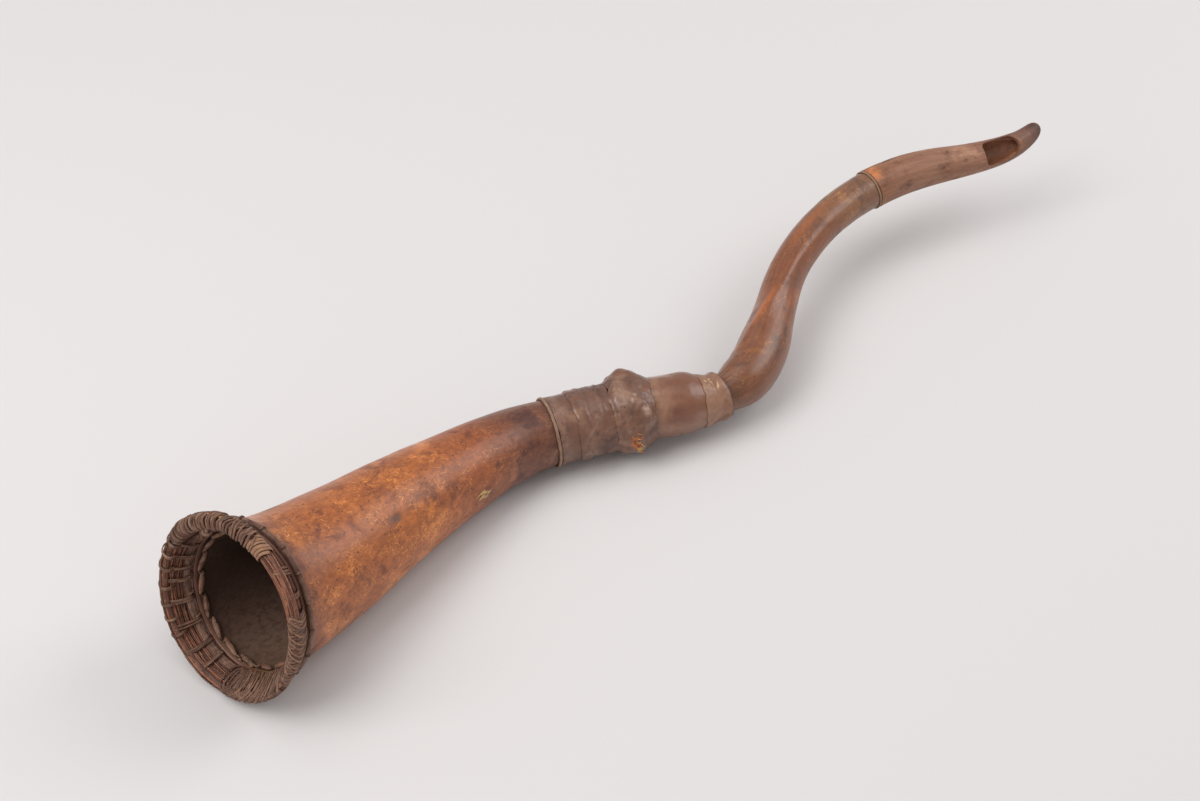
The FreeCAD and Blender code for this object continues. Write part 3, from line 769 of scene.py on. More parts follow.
@dataclass
class Bell:
    """The gourd bell."""

    around: int = 168
    step: float = 2.6
    lip_round: float = 1.9
    hidden_from: float = 302.0
    scab: tuple[float, float] = (116.0, 42.0)
    crust: tuple[float, float] = (214.0, 84.0)
    violet: tuple[float, float] = (148.0, 38.0)

    def rows(self) -> list[Row]:
        """Rows from the back end over the outside, round the lip and back along the bore."""
        end, wall = SPINE.bell, SPINE.wall
        front = SPINE.lip
        places = [end - self.step * k for k in range(math.ceil((end - front) / self.step))]
        outside = [(at, SPINE.bell_radius(at), 0) for at in places]
        outside = [row for row in outside if row[0] > front + self.lip_round]
        middle = SPINE.bell_radius(front) - wall / 2
        lip = []
        for k in range(9):
            turn = math.pi * k / 8
            lip.append((front + self.lip_round * (1 - math.sin(turn)),
                        middle + wall / 2 * math.cos(turn), 1))
        inside = [(6.0 * k, SPINE.bell_radius(6.0 * k) - wall, 2) for k in range(-1, 63)]
        close = [(end, SPINE.bell_radius(end) - wall, 2), (end, SPINE.bell_radius(end), 3)]
        return outside + lip + inside + close

    def spot(self, share: float, row: Row) -> Spot:
        """One spot of the bell's skin."""
        at, radius, part = row
        angle = 360.0 * share
        laid = unrolled(at, angle, radius)
        x, y, z = laid / MM
        free = clamp((self.hidden_from - at) / 30.0)
        free *= clamp((at - SPINE.lip) / 18.0)
        wear_and_painted_light = stain_and_painted_light = 0.0
        if part == 0:
            radius += free * (0.9 * rough(x / 70, y / 70, z / 110) + 0.22 * rough(x / 16, y / 16, z / 24))
            around = math.radians(1.0) * radius
            scab = bump(at, self.scab[0], 8.0) * bump(turn_gap(angle, self.scab[1]) * around, 0, 4.5)
            ragged = 0.6 + 0.8 * rough(x / 5, y / 5, z / 7)
            radius -= 0.5 * scab * max(0.0, ragged)
            crust = bump(at, self.crust[0], 8.0) * bump(turn_gap(angle, self.crust[1]) * around, 0, 4.0)
            flakes = max(0.0, crust * (0.55 + 1.5 * rough(x / 2.6, y / 2.6, z / 3.2)) - 0.12)
            radius += min(0.9, 1.6 * flakes)
            cloud = bump(at, self.violet[0], 16.0) * bump(turn_gap(angle, self.violet[1]) * around, 0, 7.0)
            # The stain near the lip is painted shade from the collar.
            lip = bump(at, SPINE.lip, 10.0)
            foot = sector(angle, 150.0, 50.0) * bump(at, 60.0, 90.0)
            wear_and_painted_light = min(1.0, 3.0 * flakes)
            stain_and_painted_light = min(1.0, scab * 0.9 + 0.5 * cloud + 0.55 * lip + 0.22 * foot)
        # The lip's rounded edge is darkened all over: painted shade under the collar.
        elif part == 1:
            stain_and_painted_light = 1.0
        elif part == 2:
            radius += free * 0.7 * rough(x / 40, y / 40, z / 50)
            # Inside the bore the stain darkens the top and, more with depth, the far end: painted shade.
            # The wear lightens the bottom near the mouth: painted light.
            wear_and_painted_light = 0.55 * sector(angle, 170.0, 70.0) * bump(at, 40.0, 120.0)
            stain_and_painted_light = 0.9 * sector(angle, 0.0, 90.0) + 0.6 * min(1.0, max(0.0, at) / 200.0)
        return Spot(on_horn(at, angle, radius), laid, wear_and_painted_light, stain_and_painted_light)

    def build(self) -> None:
        """Makes the bell with its darker bore, which carries painted shade and painted light."""
        loom = Loom()
        rows = self.rows()
        bore = next(k for k, row in enumerate(rows) if row[2] == 2)
        loom.weave(self.around, rows[:bore + 1], self.spot, 0)
        loom.weave(self.around, rows[bore:], self.spot, 1)
        bmesh.ops.remove_doubles(loom.mesh, verts=loom.mesh.verts, dist=2e-6)
        loom.finish("bell_gourd_shell", [GOURD, INSIDE], ["bell_gourd"], "gourd")


@dataclass
class Neck:
    """The S-shaped gourd stalk, with its plug, its spigot and the soft ridge along its flank."""

    around: int = 96
    step: float = 2.4
    bore_step: float = 12.0
    plug_radius: float = 20.3
    plug_length: float = 26.0
    spigot_radius: float = 15.1
    spigot_length: float = 24.0
    bore_wall: float = 3.8
    shown_from: float = 470.0
    ridge: tuple[Key, ...] = ((500.0, -52.0), (520.0, -34.0), (545.0, -20.0), (568.0, -8.0),
                              (590.0, 10.0), (612.0, 22.0), (640.0, 29.0), (700.0, 34.0))
    ridge_height: tuple[Key, ...] = ((495.0, 0.0), (525.0, 1.1), (560.0, 1.9), (600.0, 1.7),
                                     (640.0, 0.9), (690.0, 0.0))

    def rows(self) -> list[Row]:
        """Rows over the plug, the stalk and the spigot, and back along the bore."""
        start, end = SPINE.joint, SPINE.socket
        first, last = start - self.plug_length, end + self.spigot_length
        rows = [(first, self.plug_radius, 1), (start, self.plug_radius, 1)]
        places = [start + self.step * k for k in range(round(SPINE.neck / self.step) + 1)]
        rows += [(at, SPINE.neck_radius(at), 0) for at in places]
        rows += [(end, self.spigot_radius, 1), (last, self.spigot_radius, 1)]
        bore = [(last, self.spigot_radius - self.bore_wall), (end - 6, self.spigot_radius - self.bore_wall)]
        places = [end - self.bore_step * k for k in range(2, 27)]
        bore += [(at, SPINE.neck_radius(at) - self.bore_wall) for at in places]
        bore += [(start, self.plug_radius - self.bore_wall), (first, self.plug_radius - self.bore_wall)]
        return rows + [(at, radius, 1) for at, radius in bore] + [rows[0]]

    def spot(self, share: float, row: Row) -> Spot:
        """One spot of the neck's skin."""
        at, radius, part = row
        angle = 360.0 * share
        laid = unrolled(at, angle, radius)
        x, y, z = laid / MM
        wear_and_painted_light = stain_and_painted_light = 0.0
        if part == 0:
            free = clamp((at - self.shown_from + 8.0) / 20.0) * min(1.0, (SPINE.socket - at) / 20.0)
            gap = turn_gap(angle, smooth(self.ridge, at))
            high = smooth(self.ridge_height, at)
            hollows = 0.55 * bump(gap, 48.0, 26.0), 0.45 * bump(gap, -48.0, 26.0)
            radius += high * (bump(gap, 0.0, 15.0) - hollows[0] - hollows[1])
            radius += free * (0.5 * rough(x / 30, y / 30, z / 60) + 0.12 * rough(x / 9, y / 9, z / 14))
            crease = bump(at, 463.0, 9.0) * sector(angle, -12.0, 55.0)
            radius += 0.7 * crease * math.sin(gap_wave(angle)) * (0.5 + 0.5 * rough(x / 8, y / 8, z / 12))
            # The orange line along the ridge's crest is a painted highlight, carried by the wear.
            wear_and_painted_light = (high / 1.9) * bump(gap, -7.0, 13.0) * bump(at, 552.0, 34.0) * 0.75
            wear_and_painted_light += 0.45 * bump(at, 660.0, 40.0) * sector(angle, -14.0, 20.0)
            facet = bump(at, 530.0, 38.0) * sector(angle, 42.0, 34.0)
            stain_and_painted_light = 0.6 * facet * (0.6 + 1.4 * rough(x / 7, y / 7, z / 9, 4))
            stain_and_painted_light += 0.8 * bump(at, 457.0, 5.0)
        return Spot(on_horn(at, angle, radius), laid, min(1.0, wear_and_painted_light), clamp(stain_and_painted_light))

    def build(self) -> None:
        """Makes the neck."""
        loom = Loom()
        loom.weave(self.around, self.rows(), self.spot)
        loom.finish("neck_gourd_stalk", [NECK], ["neck_gourd"], "gourd")


def gap_wave(angle: float) -> float:
    """Phase of the small pleats where the neck comes out of its hide."""
    return math.radians(angle) * 16.0


@dataclass
class MouthTube:
    """The mouth tube, taken from its CAD solid and worn smooth."""

    voxel: float = 0.75
    hole_middle: float = SPINE.socket + 0.735 * SPINE.mouth
    hole_lean: float = 42.0
    step: float = 3.0

    def build(self) -> None:
        """Makes the tube out of a copy of its CAD mesh, with even faces and soft edges."""
        solid = bmesh.new()
        solid.from_mesh(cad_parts["mouth_tube"].data)
        bmesh.ops.remove_doubles(solid, verts=solid.verts, dist=1e-6)
        block = in_scene("mouth_tube_block", mesh_data(solid, "mouth_tube_block"))
        remesh = block.modifiers.new("even faces", "REMESH")
        remesh.mode, remesh.voxel_size = "VOXEL", self.voxel * MM
        ready = bpy.data.meshes.new_from_object(block.evaluated_get(bpy.context.evaluated_depsgraph_get()))
        bpy.data.objects.remove(block)
        loom = Loom()
        plain = bmesh.new()
        plain.from_mesh(ready)
        bmesh.ops.smooth_vert(plain, verts=plain.verts, factor=0.5, use_axis_x=True, use_axis_y=True,
                              use_axis_z=True)
        plain.to_mesh(ready)
        plain.free()
        loom.mesh.from_mesh(ready)
        bpy.data.meshes.remove(ready)
        self.dress(loom)
        loom.finish("mouth_tube_body", [MOUTH_WOOD], ["mouth_tube"], "mouth_wood")

    def dress(self, loom: Loom) -> None:
        """Gives each point its place on the straightened tube, its wear and its stains, and the painted
        light inside the hole.

        Args:
            loom: holds the tube's mesh.
        """
        count = int(SPINE.mouth / self.step) + 12
        tree = KDTree(count)
        places = [SPINE.socket - 9.0 + self.step * k for k in range(count)]
        for k, at in enumerate(places):
            tree.insert((ORIGIN + SPINE.centre(at)) * MM, k)
        tree.balance()
        for vert in loom.mesh.verts:
            _, k, _ = tree.find(vert.co)
            at = places[k]
            up, side = SPINE.axes(at)
            offset = vert.co / MM - ORIGIN - SPINE.centre(at)
            at += offset.dot(SPINE.heading(at))
            offset -= SPINE.heading(places[k]) * offset.dot(SPINE.heading(places[k]))
            radius = offset.length
            angle = math.degrees(math.atan2(offset.dot(side), offset.dot(up)))
            laid = unrolled(at, angle, radius)
            x, y, z = laid / MM
            skin = radius > self.skin(at) - 1.4
            vert[loom.laid] = laid
            if skin:
                vert.co += vert.normal * (0.16 * rough(x / 12, y / 12, z / 26)) * MM
                vert[loom.wear_and_painted_light] = self.worn(at, angle, x, y, z)
                blots = max(0.0, rough(x / 9, y / 9, z / 20, 4))
                vert[loom.stain_and_painted_light] = min(1.0, 0.75 * bump(at, SPINE.tip, 6.0) + 0.9 * blots)
            else:
                # The inside of the hole is lightened towards the worn colour: painted light against its
                # shade.
                vert[loom.wear_and_painted_light] = 0.3

    def skin(self, at: float) -> float:
        """Outside radius of the tube."""
        start, length = SPINE.socket, SPINE.mouth
        return smooth(((start, 18.4), (start + 0.28 * length, 17.4), (start + 0.54 * length, 14.8),
                       (start + 0.735 * length, 12.8), (start + 0.89 * length, 9.8),
                       (SPINE.tip - 7.6, 8.0), (SPINE.tip - 2.2, 6.0), (SPINE.tip, 3.0)), at)

    def worn(self, at: float, angle: float, x: float, y: float, z: float) -> float:
        """How worn the outside is: a bare patch at the socket's edge and a pale rim round the hole."""
        patch = bump(at, SPINE.socket + 1.0, 8.0) * sector(angle, 6.0, 28.0)
        patch += 0.3 * bump(at, SPINE.socket + 6.0, 20.0) * sector(angle, -24.0, 14.0)
        patch *= 0.8 + 0.9 * rough(x / 5, y / 5, z / 14)
        along = (at - self.hole_middle) / 19.5
        across = turn_gap(angle, self.hole_lean) * math.radians(1.0) * 12.8 / 12.2
        edge = bump(math.hypot(along, across), 1.0, 0.11) * clamp(0.5 + along)
        return clamp(patch + 0.25 * edge)


@dataclass
class SocketBead:
    """The bead of gum at the mouth tube's edge, with the thin pale line beside it."""

    around: int = 96
    length: float = 2.2

    def build(self) -> None:
        """Makes the bead."""
        loom = Loom()
        end = SPINE.socket
        rows = [(end - self.length, 17.35, 0), (end - self.length, 18.1, 1), (end - 1.5, 18.5, 1),
                (end - 0.9, 18.45, 1), (end - 0.45, 17.9, 0), (end - 0.1, 18.0, 0), (end - 0.1, 17.35, 0),
                (end - self.length, 17.35, 0)]

        def place(share: float, row: Row) -> Spot:
            """One spot of the bead."""
            at, radius, pale = row
            angle = 360.0 * share
            wave = 0.3 * rough(math.cos(share * TAU) * 3, math.sin(share * TAU) * 3, 1.7)
            radius += 0.15 * wave if radius > 17.5 else 0.0
            return Spot(on_horn(at + wave * 0.4, angle, radius), unrolled(at, angle, radius), float(pale))

        loom.weave(self.around, rows, place)
        loom.finish("socket_gum_bead", [replace(GUM, name="gum_bead", worn=tint(150, 118, 92))],
                    ["mouth_joint_gum"], "gum")


# ---------------------------------------------------------------- the hide over the joint
@dataclass
class Sleeve:
    """A turn of hide round the spine, a closed skin with ragged edges."""

    name: str
    start: float
    end: float
    under: Callable[[float], float]
    thickness: float
    swell: Callable[[float, float], float]
    finish: Finish
    node: str
    slot: str = "hide"
    around: int = 128
    step: float = 1.6
    ragged: float = 1.0
    ragged_end: float = 0.4
    feather: float = 0.0
    worn: Callable[[float, float], float] = field(default=lambda at, angle: 0.0)
    stained_and_painted_light: Callable[[float, float], float] = field(default=lambda at, angle: 0.0)

    def build(self) -> bpy.types.Object:
        """Makes the sleeve.

        Returns:
            The sleeve's object.
        """
        count = max(6, int((self.end - self.start) / self.step))
        shares = [k / count for k in range(count + 1)]
        rounded = [(0.0, 0.0), (0.0, 0.55)]
        outer = [(share, 1.0) for share in shares]
        outer[0], outer[-1] = (0.4 / count, 1.0), (1 - 0.4 / count, 1.0)
        rows = rounded + outer + [(1.0, 0.55), (1.0, 0.0)]
        rows += [(share, 0.0) for share in reversed(shares[:-1:4])]
        if rows[-1] != (0.0, 0.0):
            rows.append((0.0, 0.0))
        loom = Loom()
        loom.weave(self.around, rows, self.spot)
        return loom.finish(self.name, [self.finish], [self.node], self.slot)

    def spot(self, share: float, row: tuple[float, float]) -> Spot:
        """One spot of the hide; the row holds the share along it and the share of its thickness."""
        along, through = row
        angle = 360.0 * share
        c, s = math.cos(share * TAU), math.sin(share * TAU)
        edge = self.ragged * rough(c * 2.2, s * 2.2, self.start, 4) * (1 - along)
        edge += self.ragged_end * rough(c * 2.2, s * 2.2, self.end + 5.0, 4) * along
        at = self.start + (self.end - self.start) * along + edge
        base = self.under(at)
        top = base + self.thickness + max(-0.4 * self.thickness, self.swell(at, angle))
        if self.feather:
            top = base + (top - base) * min(1.0, 0.12 + max(0.0, at - self.start - edge) / self.feather)
        radius = base + (top - base) * through
        return Spot(on_horn(at, angle, radius), unrolled(at, angle, radius),
                    self.worn(at, angle) * through, self.stained_and_painted_light(at, angle) * through)


def wrinkles(at: float, angle: float, height: float, grain: float = 9.0) -> float:
    """Fine folds of dried hide."""
    c, s = math.cos(math.radians(angle)), math.sin(math.radians(angle))
    fold = rough(c * 25 / grain, s * 25 / grain, at / grain)
    crease = 1 - abs(rough(c * 25 / grain + 7, s * 25 / grain, at / (grain * 1.6), 2)) * 3
    return height * (fold + 0.45 * max(0.0, crease))


@dataclass
class JointHide:
    """All the hide over the joint: two turns in front, the knuckled lump and the sleeve behind."""

    hide: float = HIDE_THICK
    fit: float = FIT
    front_start: float = HIDE_EDGE
    front_end: float = 362.0
    turn_start: float = 328.0
    lump_start: float = 361.0
    lump_end: float = 397.0
    rear_start: float = 394.0
    rear_end: float = 457.0
    band_length: float = 17.0
    # bosses on the lump: place along, angle, reach along, reach round in degrees, height
    bosses: tuple = ((375.0, -46.0, 6.5, 20.0, 4.6), (385.0, -44.0, 8.0, 22.0, 3.0),
                     (390.0, 50.0, 5.0, 15.0, 5.0), (376.0, 102.0, 8.0, 22.0, 5.4),
                     (381.0, 186.0, 10.0, 26.0, 1.6), (371.0, 20.0, 8.0, 26.0, 0.6),
                     (380.0, -4.0, 4.0, 16.0, -1.3), (383.0, 72.0, 5.0, 10.0, -1.4))
    torn_at: tuple = (376.5, 92.0)

    def under_front(self, at: float) -> float:
        """Inside of the first turn."""
        return SPINE.body_radius(at) + self.fit

    def under_turn(self, at: float) -> float:
        """Inside of the second turn."""
        return self.under_front(at) + self.hide + self.fit

    def ridge(self, at: float, angle: float) -> float:
        """The two raised lines that run round the front sleeve, with the finer folds."""
        drift = 1.2 * rough(math.cos(math.radians(angle)), math.sin(math.radians(angle)), 4.0)
        lines = 0.75 * bump(at, 338.0 + drift, 1.3) + 0.85 * bump(at, 353.5 - drift, 1.2)
        lines -= 0.35 * bump(at, 341.5 + drift, 2.0) + 0.3 * bump(at, 350.5 - drift, 2.0)
        return lines + wrinkles(at, angle, 0.55)

    def nicks(self, at: float, angle: float) -> float:
        """Where the raised lines are rubbed to bare orange."""
        torn = 0.5 + 1.6 * rough(at / 1.6, angle / 4.0, 2.0)
        first = bump(at, 338.0, 1.1) * sector(angle, -8.0, 11.0)
        second = bump(at, 353.5, 0.9) * sector(angle, 46.0, 18.0)
        return clamp(torn * (first + 0.8 * second))

    def lump_under(self, at: float) -> float:
        """Inside of the lump's cover: over the sleeves' ends and the packing."""
        front = self.under_turn(self.lump_start) + self.hide + 0.15
        rear = self.under_front(self.lump_end) + self.hide + 0.15
        return smooth(((self.lump_start, front), (368.0, 30.6), (378.0, 31.0), (387.0, 30.0),
                       (394.0, rear + 0.4), (self.lump_end, rear)), at)

    def knuckles(self, at: float, angle: float) -> float:
        """The lump's bosses and hollows."""
        rise = sum(high * bump(at, middle, reach) * sector(angle, turn, wide)
                   for middle, turn, reach, wide, high in self.bosses)
        edge = clamp((at - self.lump_start) / 5.0) * clamp((self.lump_end - at) / 3.5)
        return -0.5 * (1 - edge) + edge * (rise + wrinkles(at, angle, 1.1, 10.0))

    def lump_wear(self, at: float, angle: float) -> float:
        """Orange rubbed spots on the bosses."""
        top = bump(at, 376.0, 5.0) * sector(angle, -34.0, 9.0)
        low = bump(at, self.torn_at[0], 6.0) * sector(angle, self.torn_at[1], 12.0)
        side = bump(at, 391.0, 4.0) * sector(angle, 8.0, 9.0)
        torn = 0.45 + 1.8 * rough(at / 2.0, angle / 5.0, 6.0)
        return clamp(torn * (0.6 * top + 1.2 * low + 0.5 * side))

    def lump_pale_patch_and_highlight(self, at: float, angle: float) -> float:
        """A paler bare patch of the lump, and a painted pink highlight on the boss that faces the camera.
        """
        pale = bump(at, 372.0, 8.0) * sector(angle, 22.0, 26.0)
        boss_highlight = bump(at, 389.0, 3.6) * sector(angle, 47.0, 9.0)
        return min(1.0, 0.45 * pale + 0.8 * boss_highlight)

    def rear_swell(self, at: float, angle: float) -> float:
        """The soft shoulder of the rear sleeve."""
        hump = 1.7 * bump(at, 428.0, 11.0) * sector(angle, -52.0, 46.0)
        belly = 1.1 * bump(at, 420.0, 20.0) * sector(angle, 70.0, 70.0)
        return hump + belly + wrinkles(at, angle, 0.32, 14.0)

    def build(self) -> None:
        """Makes every layer of hide, the thong and the torn fibres."""
        Sleeve("front_hide_sleeve", self.front_start, self.front_end, self.under_front, self.hide,
               lambda at, angle: min(0.22 if at > self.turn_start - 1 else 0.6, wrinkles(at, angle, 0.4)),
               HIDE, "front_sleeve", ragged=1.3,
               stained_and_painted_light=lambda at, angle: 0.35 * bump(at, 314.0, 9.0)).build()
        Sleeve("front_hide_second_turn", self.turn_start, self.front_end + 0.4, self.under_turn,
               self.hide, self.ridge, HIDE, "front_sleeve_turn", ragged=2.4, feather=2.2, worn=self.nicks,
               stained_and_painted_light=lambda at, angle: 0.4 * bump(at, 346.0, 7.0) * sector(angle, 38.0, 30.0)
               ).build()
        Sleeve("joint_hide_lump", self.lump_start, self.lump_end, self.lump_under, self.hide,
               self.knuckles, HIDE, "joint_cover", step=0.9, ragged=2.0, ragged_end=1.4, feather=4.0,
               worn=self.lump_wear, stained_and_painted_light=self.lump_pale_patch_and_highlight, around=192).build()
        # The darkening at the rear sleeve's front end, in the groove behind the lump, is painted shade.
        Sleeve("rear_hide_sleeve", self.rear_start, self.rear_end, self.under_front, self.hide,
               self.rear_swell, SMOOTH_HIDE, "rear_sleeve", ragged=0.6,
               stained_and_painted_light=lambda at, angle: 0.35 * bump(at, 398.0, 4.0)).build()
        self.cuff()
        self.thong()
        self.torn()

    def cuff(self) -> None:
        """The narrow band of pale hide at the rear sleeve's end."""
        def worn(at: float, angle: float) -> float:
            """Two pale scratches and the rubbed rim."""
            scratch = bump(at, 446.0, 4.0) * sector(angle, 0.0, 12.0)
            scratch *= 3.0 * max(0.0, rough(at / 1.5, angle / 7.0, 3.0) + 0.05)
            scratch += bump(at + 0.12 * turn_gap(angle, 16.0), 453.0, 0.8) * sector(angle, 16.0, 10.0)
            return min(1.0, scratch)

        def swell(at: float, angle: float) -> float:
            """A thick rolled rim at the band's far end."""
            return 0.9 * bump(at, 456.6, 3.2) - 0.5 * bump(at, 441.0, 2.5) + wrinkles(at, angle, 0.35, 8.0)

        Sleeve("rear_hide_band", self.rear_end - self.band_length, self.rear_end + 2.6,
               lambda at: max(SPINE.neck_radius(at) + 2 * self.fit + self.hide + 0.2, 19.5), 1.1, swell,
               BAND_HIDE, "rear_cuff", slot="pale_hide", ragged=1.0, ragged_end=0.7, step=0.9,
               worn=worn, stained_and_painted_light=lambda at, angle: 0.9 * bump(at, self.rear_end + 2.8, 0.9)).build()

    def thong(self) -> None:
        """The pale thong tied round the front edge."""
        loom = Loom()

        def path(share: float) -> tuple[Vector, Vector]:
            """Once round the bell, wavering a little."""
            angle = 360.0 * share
            c, s = math.cos(share * TAU), math.sin(share * TAU)
            at = THONG_AT + 0.5 * rough(c * 1.8, s * 1.8, 9.0)
            radius = SPINE.bell_radius(at) + 1.35
            return on_horn(at, angle, radius), on_horn(at, angle, radius + 1) - on_horn(at, angle, radius)

        loom.strand(path, 160, 10, lambda share: (1.35 + 0.25 * rough(share * 20, 0, 3), 1.15), closed=True)
        loom.finish("edge_hide_thong", [THONG], ["edge_thong"], "pale_hide")

    def torn(self) -> None:
        """Fibres torn loose on the lump's lower boss."""
        loom = Loom()
        for k in range(22):
            drift = rough(k * 1.7, 3.1), rough(k * 2.3, 7.7), rough(k * 0.9, 5.5)
            at = self.torn_at[0] + 8.0 * drift[0]
            angle = self.torn_at[1] + 22.0 * drift[1]
            top = self.lump_under(at) + self.hide + self.knuckles(at, angle)
            reach, curl = 3.4 + 2.0 * drift[2], 14.0 * drift[0]

            def path(share: float) -> tuple[Vector, Vector]:
                """A short curl that leaves the skin."""
                lift = 1.5 * math.sin(share * 2.4) - 0.25
                here = on_horn(at + reach * share, angle + curl * share, top + lift)
                return here, on_horn(at, angle, top + 9) - on_horn(at, angle, top)

            loom.strand(path, 6, 5, lambda share: (0.42 * (1 - 0.7 * share), 0.22), seed=k * 0.013,
                        wear_and_painted_light=0.9 if k % 4 == 0 else 0.0, stain_and_painted_light=1.0 if k % 3 == 1 else 0.0)
        loom.finish("torn_hide_fibres", [FRESH], [], "bark_fibre")


# ---------------------------------------------------------------- the basketry collar
@dataclass
class Cane:
    """One split cane of the collar, bent round the mouth for part of its way or all of it."""

    start: float
    end: float
    radius: float
    forward: float
    wide: float
    thick: float
    wander: float = 0.7
    seed: float = 0.0
    wear_and_painted_light: float = 0.0
    stain_and_painted_light: float = 0.0
    face: tuple[float, float] = (1.0, 0.6)

    def weave(self, loom: Loom, slot: int = 0) -> None:
        """Adds the cane to a mesh.

        Args:
            loom: the mesh.
            slot: its material index.
        """
        span = self.end - self.start
        closed = abs(span - 360.0) < 1e-6

        def path(share: float) -> tuple[Vector, Vector]:
            """Round the mouth with small wanderings."""
            angle = self.start + span * share
            c, s = math.cos(math.radians(angle)), math.sin(math.radians(angle))
            out = self.radius + self.wander * rough(c * 1.9 + self.seed * 40, s * 1.9, 1.0)
            ahead = self.forward + self.wander * rough(c * 1.9, s * 1.9 + self.seed * 40, 5.0)
            here = MOUTH.spot(angle, out, ahead)
            return here, MOUTH.spot(angle, out + self.face[0], ahead + self.face[1]) - here

        def size(share: float) -> tuple[float, float]:
            """Thickness, drawn out to a point at loose ends."""
            taper = 1.0 if closed else min(1.0, 0.35 + 6.0 * min(share, 1 - share))
            swell = 1 + 0.12 * rough(share * span / 9.0, self.seed * 30, 2.0)
            return self.wide * taper * swell, self.thick * taper * swell

        loom.strand(path, max(8, int(abs(span) / 2.0)), 8, size, closed, self.seed, self.wear_and_painted_light, self.stain_and_painted_light,
                    slot, square=0.8)


class Section(NamedTuple):
    """Outline that a binding goes round, in the plane of radius and forward."""

    radius: float
    forward: float
    half_long: float
    half_wide: float
    slant: float

    def at(self, turn: float, lift: float) -> tuple[float, float, float, float]:
        """Point and outward direction at a turn round the outline.

        Args:
            turn: radians round the outline.
            lift: how far outside it.

        Returns:
            Radius, forward, and the outward direction's two parts.
        """
        c, s = math.cos(turn), math.sin(turn)
        x = math.copysign(abs(c) ** 0.8, c) * (self.half_long + lift)
        y = math.copysign(abs(s) ** 0.8, s) * (self.half_wide + lift)
        nx, ny = c / self.half_long, s / self.half_wide
        size = math.hypot(nx, ny)
        cs, sn = math.cos(self.slant), math.sin(self.slant)
        nx, ny = nx / size, ny / size
        return (self.radius + x * cs - y * sn, self.forward + x * sn + y * cs, nx * cs - ny * sn,
                nx * sn + ny * cs)


ROLL_AT = (69.9, 17.0)
SPLINT_AT = (61.6, 4.4)
SLOPE = math.atan2(ROLL_AT[1] - SPLINT_AT[1], ROLL_AT[0] - SPLINT_AT[0])
ROLL = Section(*ROLL_AT, 5.2, 5.2, 0.0)
BAND = Section((ROLL_AT[0] + SPLINT_AT[0]) / 2, (ROLL_AT[1] + SPLINT_AT[1]) / 2, 11.8, 4.2, SLOPE)


def across_band(share: float, proud: float) -> tuple[float, float]:
    """Radius and forward of a place between splint (0) and roll (1), standing proud on the mouth's side."""
    out = SPLINT_AT[0] + (ROLL_AT[0] - SPLINT_AT[0]) * share - proud * math.sin(SLOPE)
    return out, SPLINT_AT[1] + (ROLL_AT[1] - SPLINT_AT[1]) * share + proud * math.cos(SLOPE)


@dataclass
class Binding:
    """A strip wound round a section of the collar, turn after turn."""

    start: float
    end: float
    section: Section
    turns: float
    wide: float
    thick: float
    lean: float = 0.0
    jitter: float = 0.5
    lift: float = 0.7
    seed: float = 0.0
    wear_and_painted_light: float = 0.0
    stain_and_painted_light: float = 0.0
    first: float = 0.0

    def weave(self, loom: Loom, slot: int = 0) -> None:
        """Adds the binding to a mesh.

        Args:
            loom: the mesh.
            slot: its material index.
        """
        def path(share: float) -> tuple[Vector, Vector]:
            """Round and round the section while the angle creeps on."""
            turn = self.first + TAU * self.turns * share
            number = self.turns * share
            angle = self.start + (self.end - self.start) * share
            angle += self.lean * math.sin(turn) + self.jitter * rough(number * 0.8, self.seed * 50, 0.5)
            lift = self.lift + 0.45 * self.thick * (1 + rough(number * 0.7, self.seed * 20, 3.0))
            out, ahead, nx, ny = self.section.at(turn, lift)
            here = MOUTH.spot(angle, out, ahead)
            return here, MOUTH.spot(angle, out + nx, ahead + ny) - here

        def size(share: float) -> tuple[float, float]:
            """Width and thickness, uneven from turn to turn."""
            uneven = 1 + 0.35 * rough(self.turns * share * 0.9, self.seed * 10, 8.0)
            return self.wide * uneven / 2, self.thick / 2

        loom.strand(path, max(12, int(self.turns * 22)), 6, size, False, self.seed, self.wear_and_painted_light, self.stain_and_painted_light,
                    slot, square=0.75)


def basket(name: str, finish: Finish, nodes: Iterable[str], slot: str,
           strips: Iterable[Cane | Binding]) -> None:
    """Weaves canes and bindings into one piece.

    Args:
        name: the piece's name.
        finish: what all its strips are made of.
        nodes: CAD nodes that it stands for.
        slot: passed on to Loom.finish, which does not use it.
        strips: its canes and bindings.
    """
    loom = Loom()
    for strip in strips:
        strip.weave(loom)
    loom.finish(name, [finish], nodes, slot)


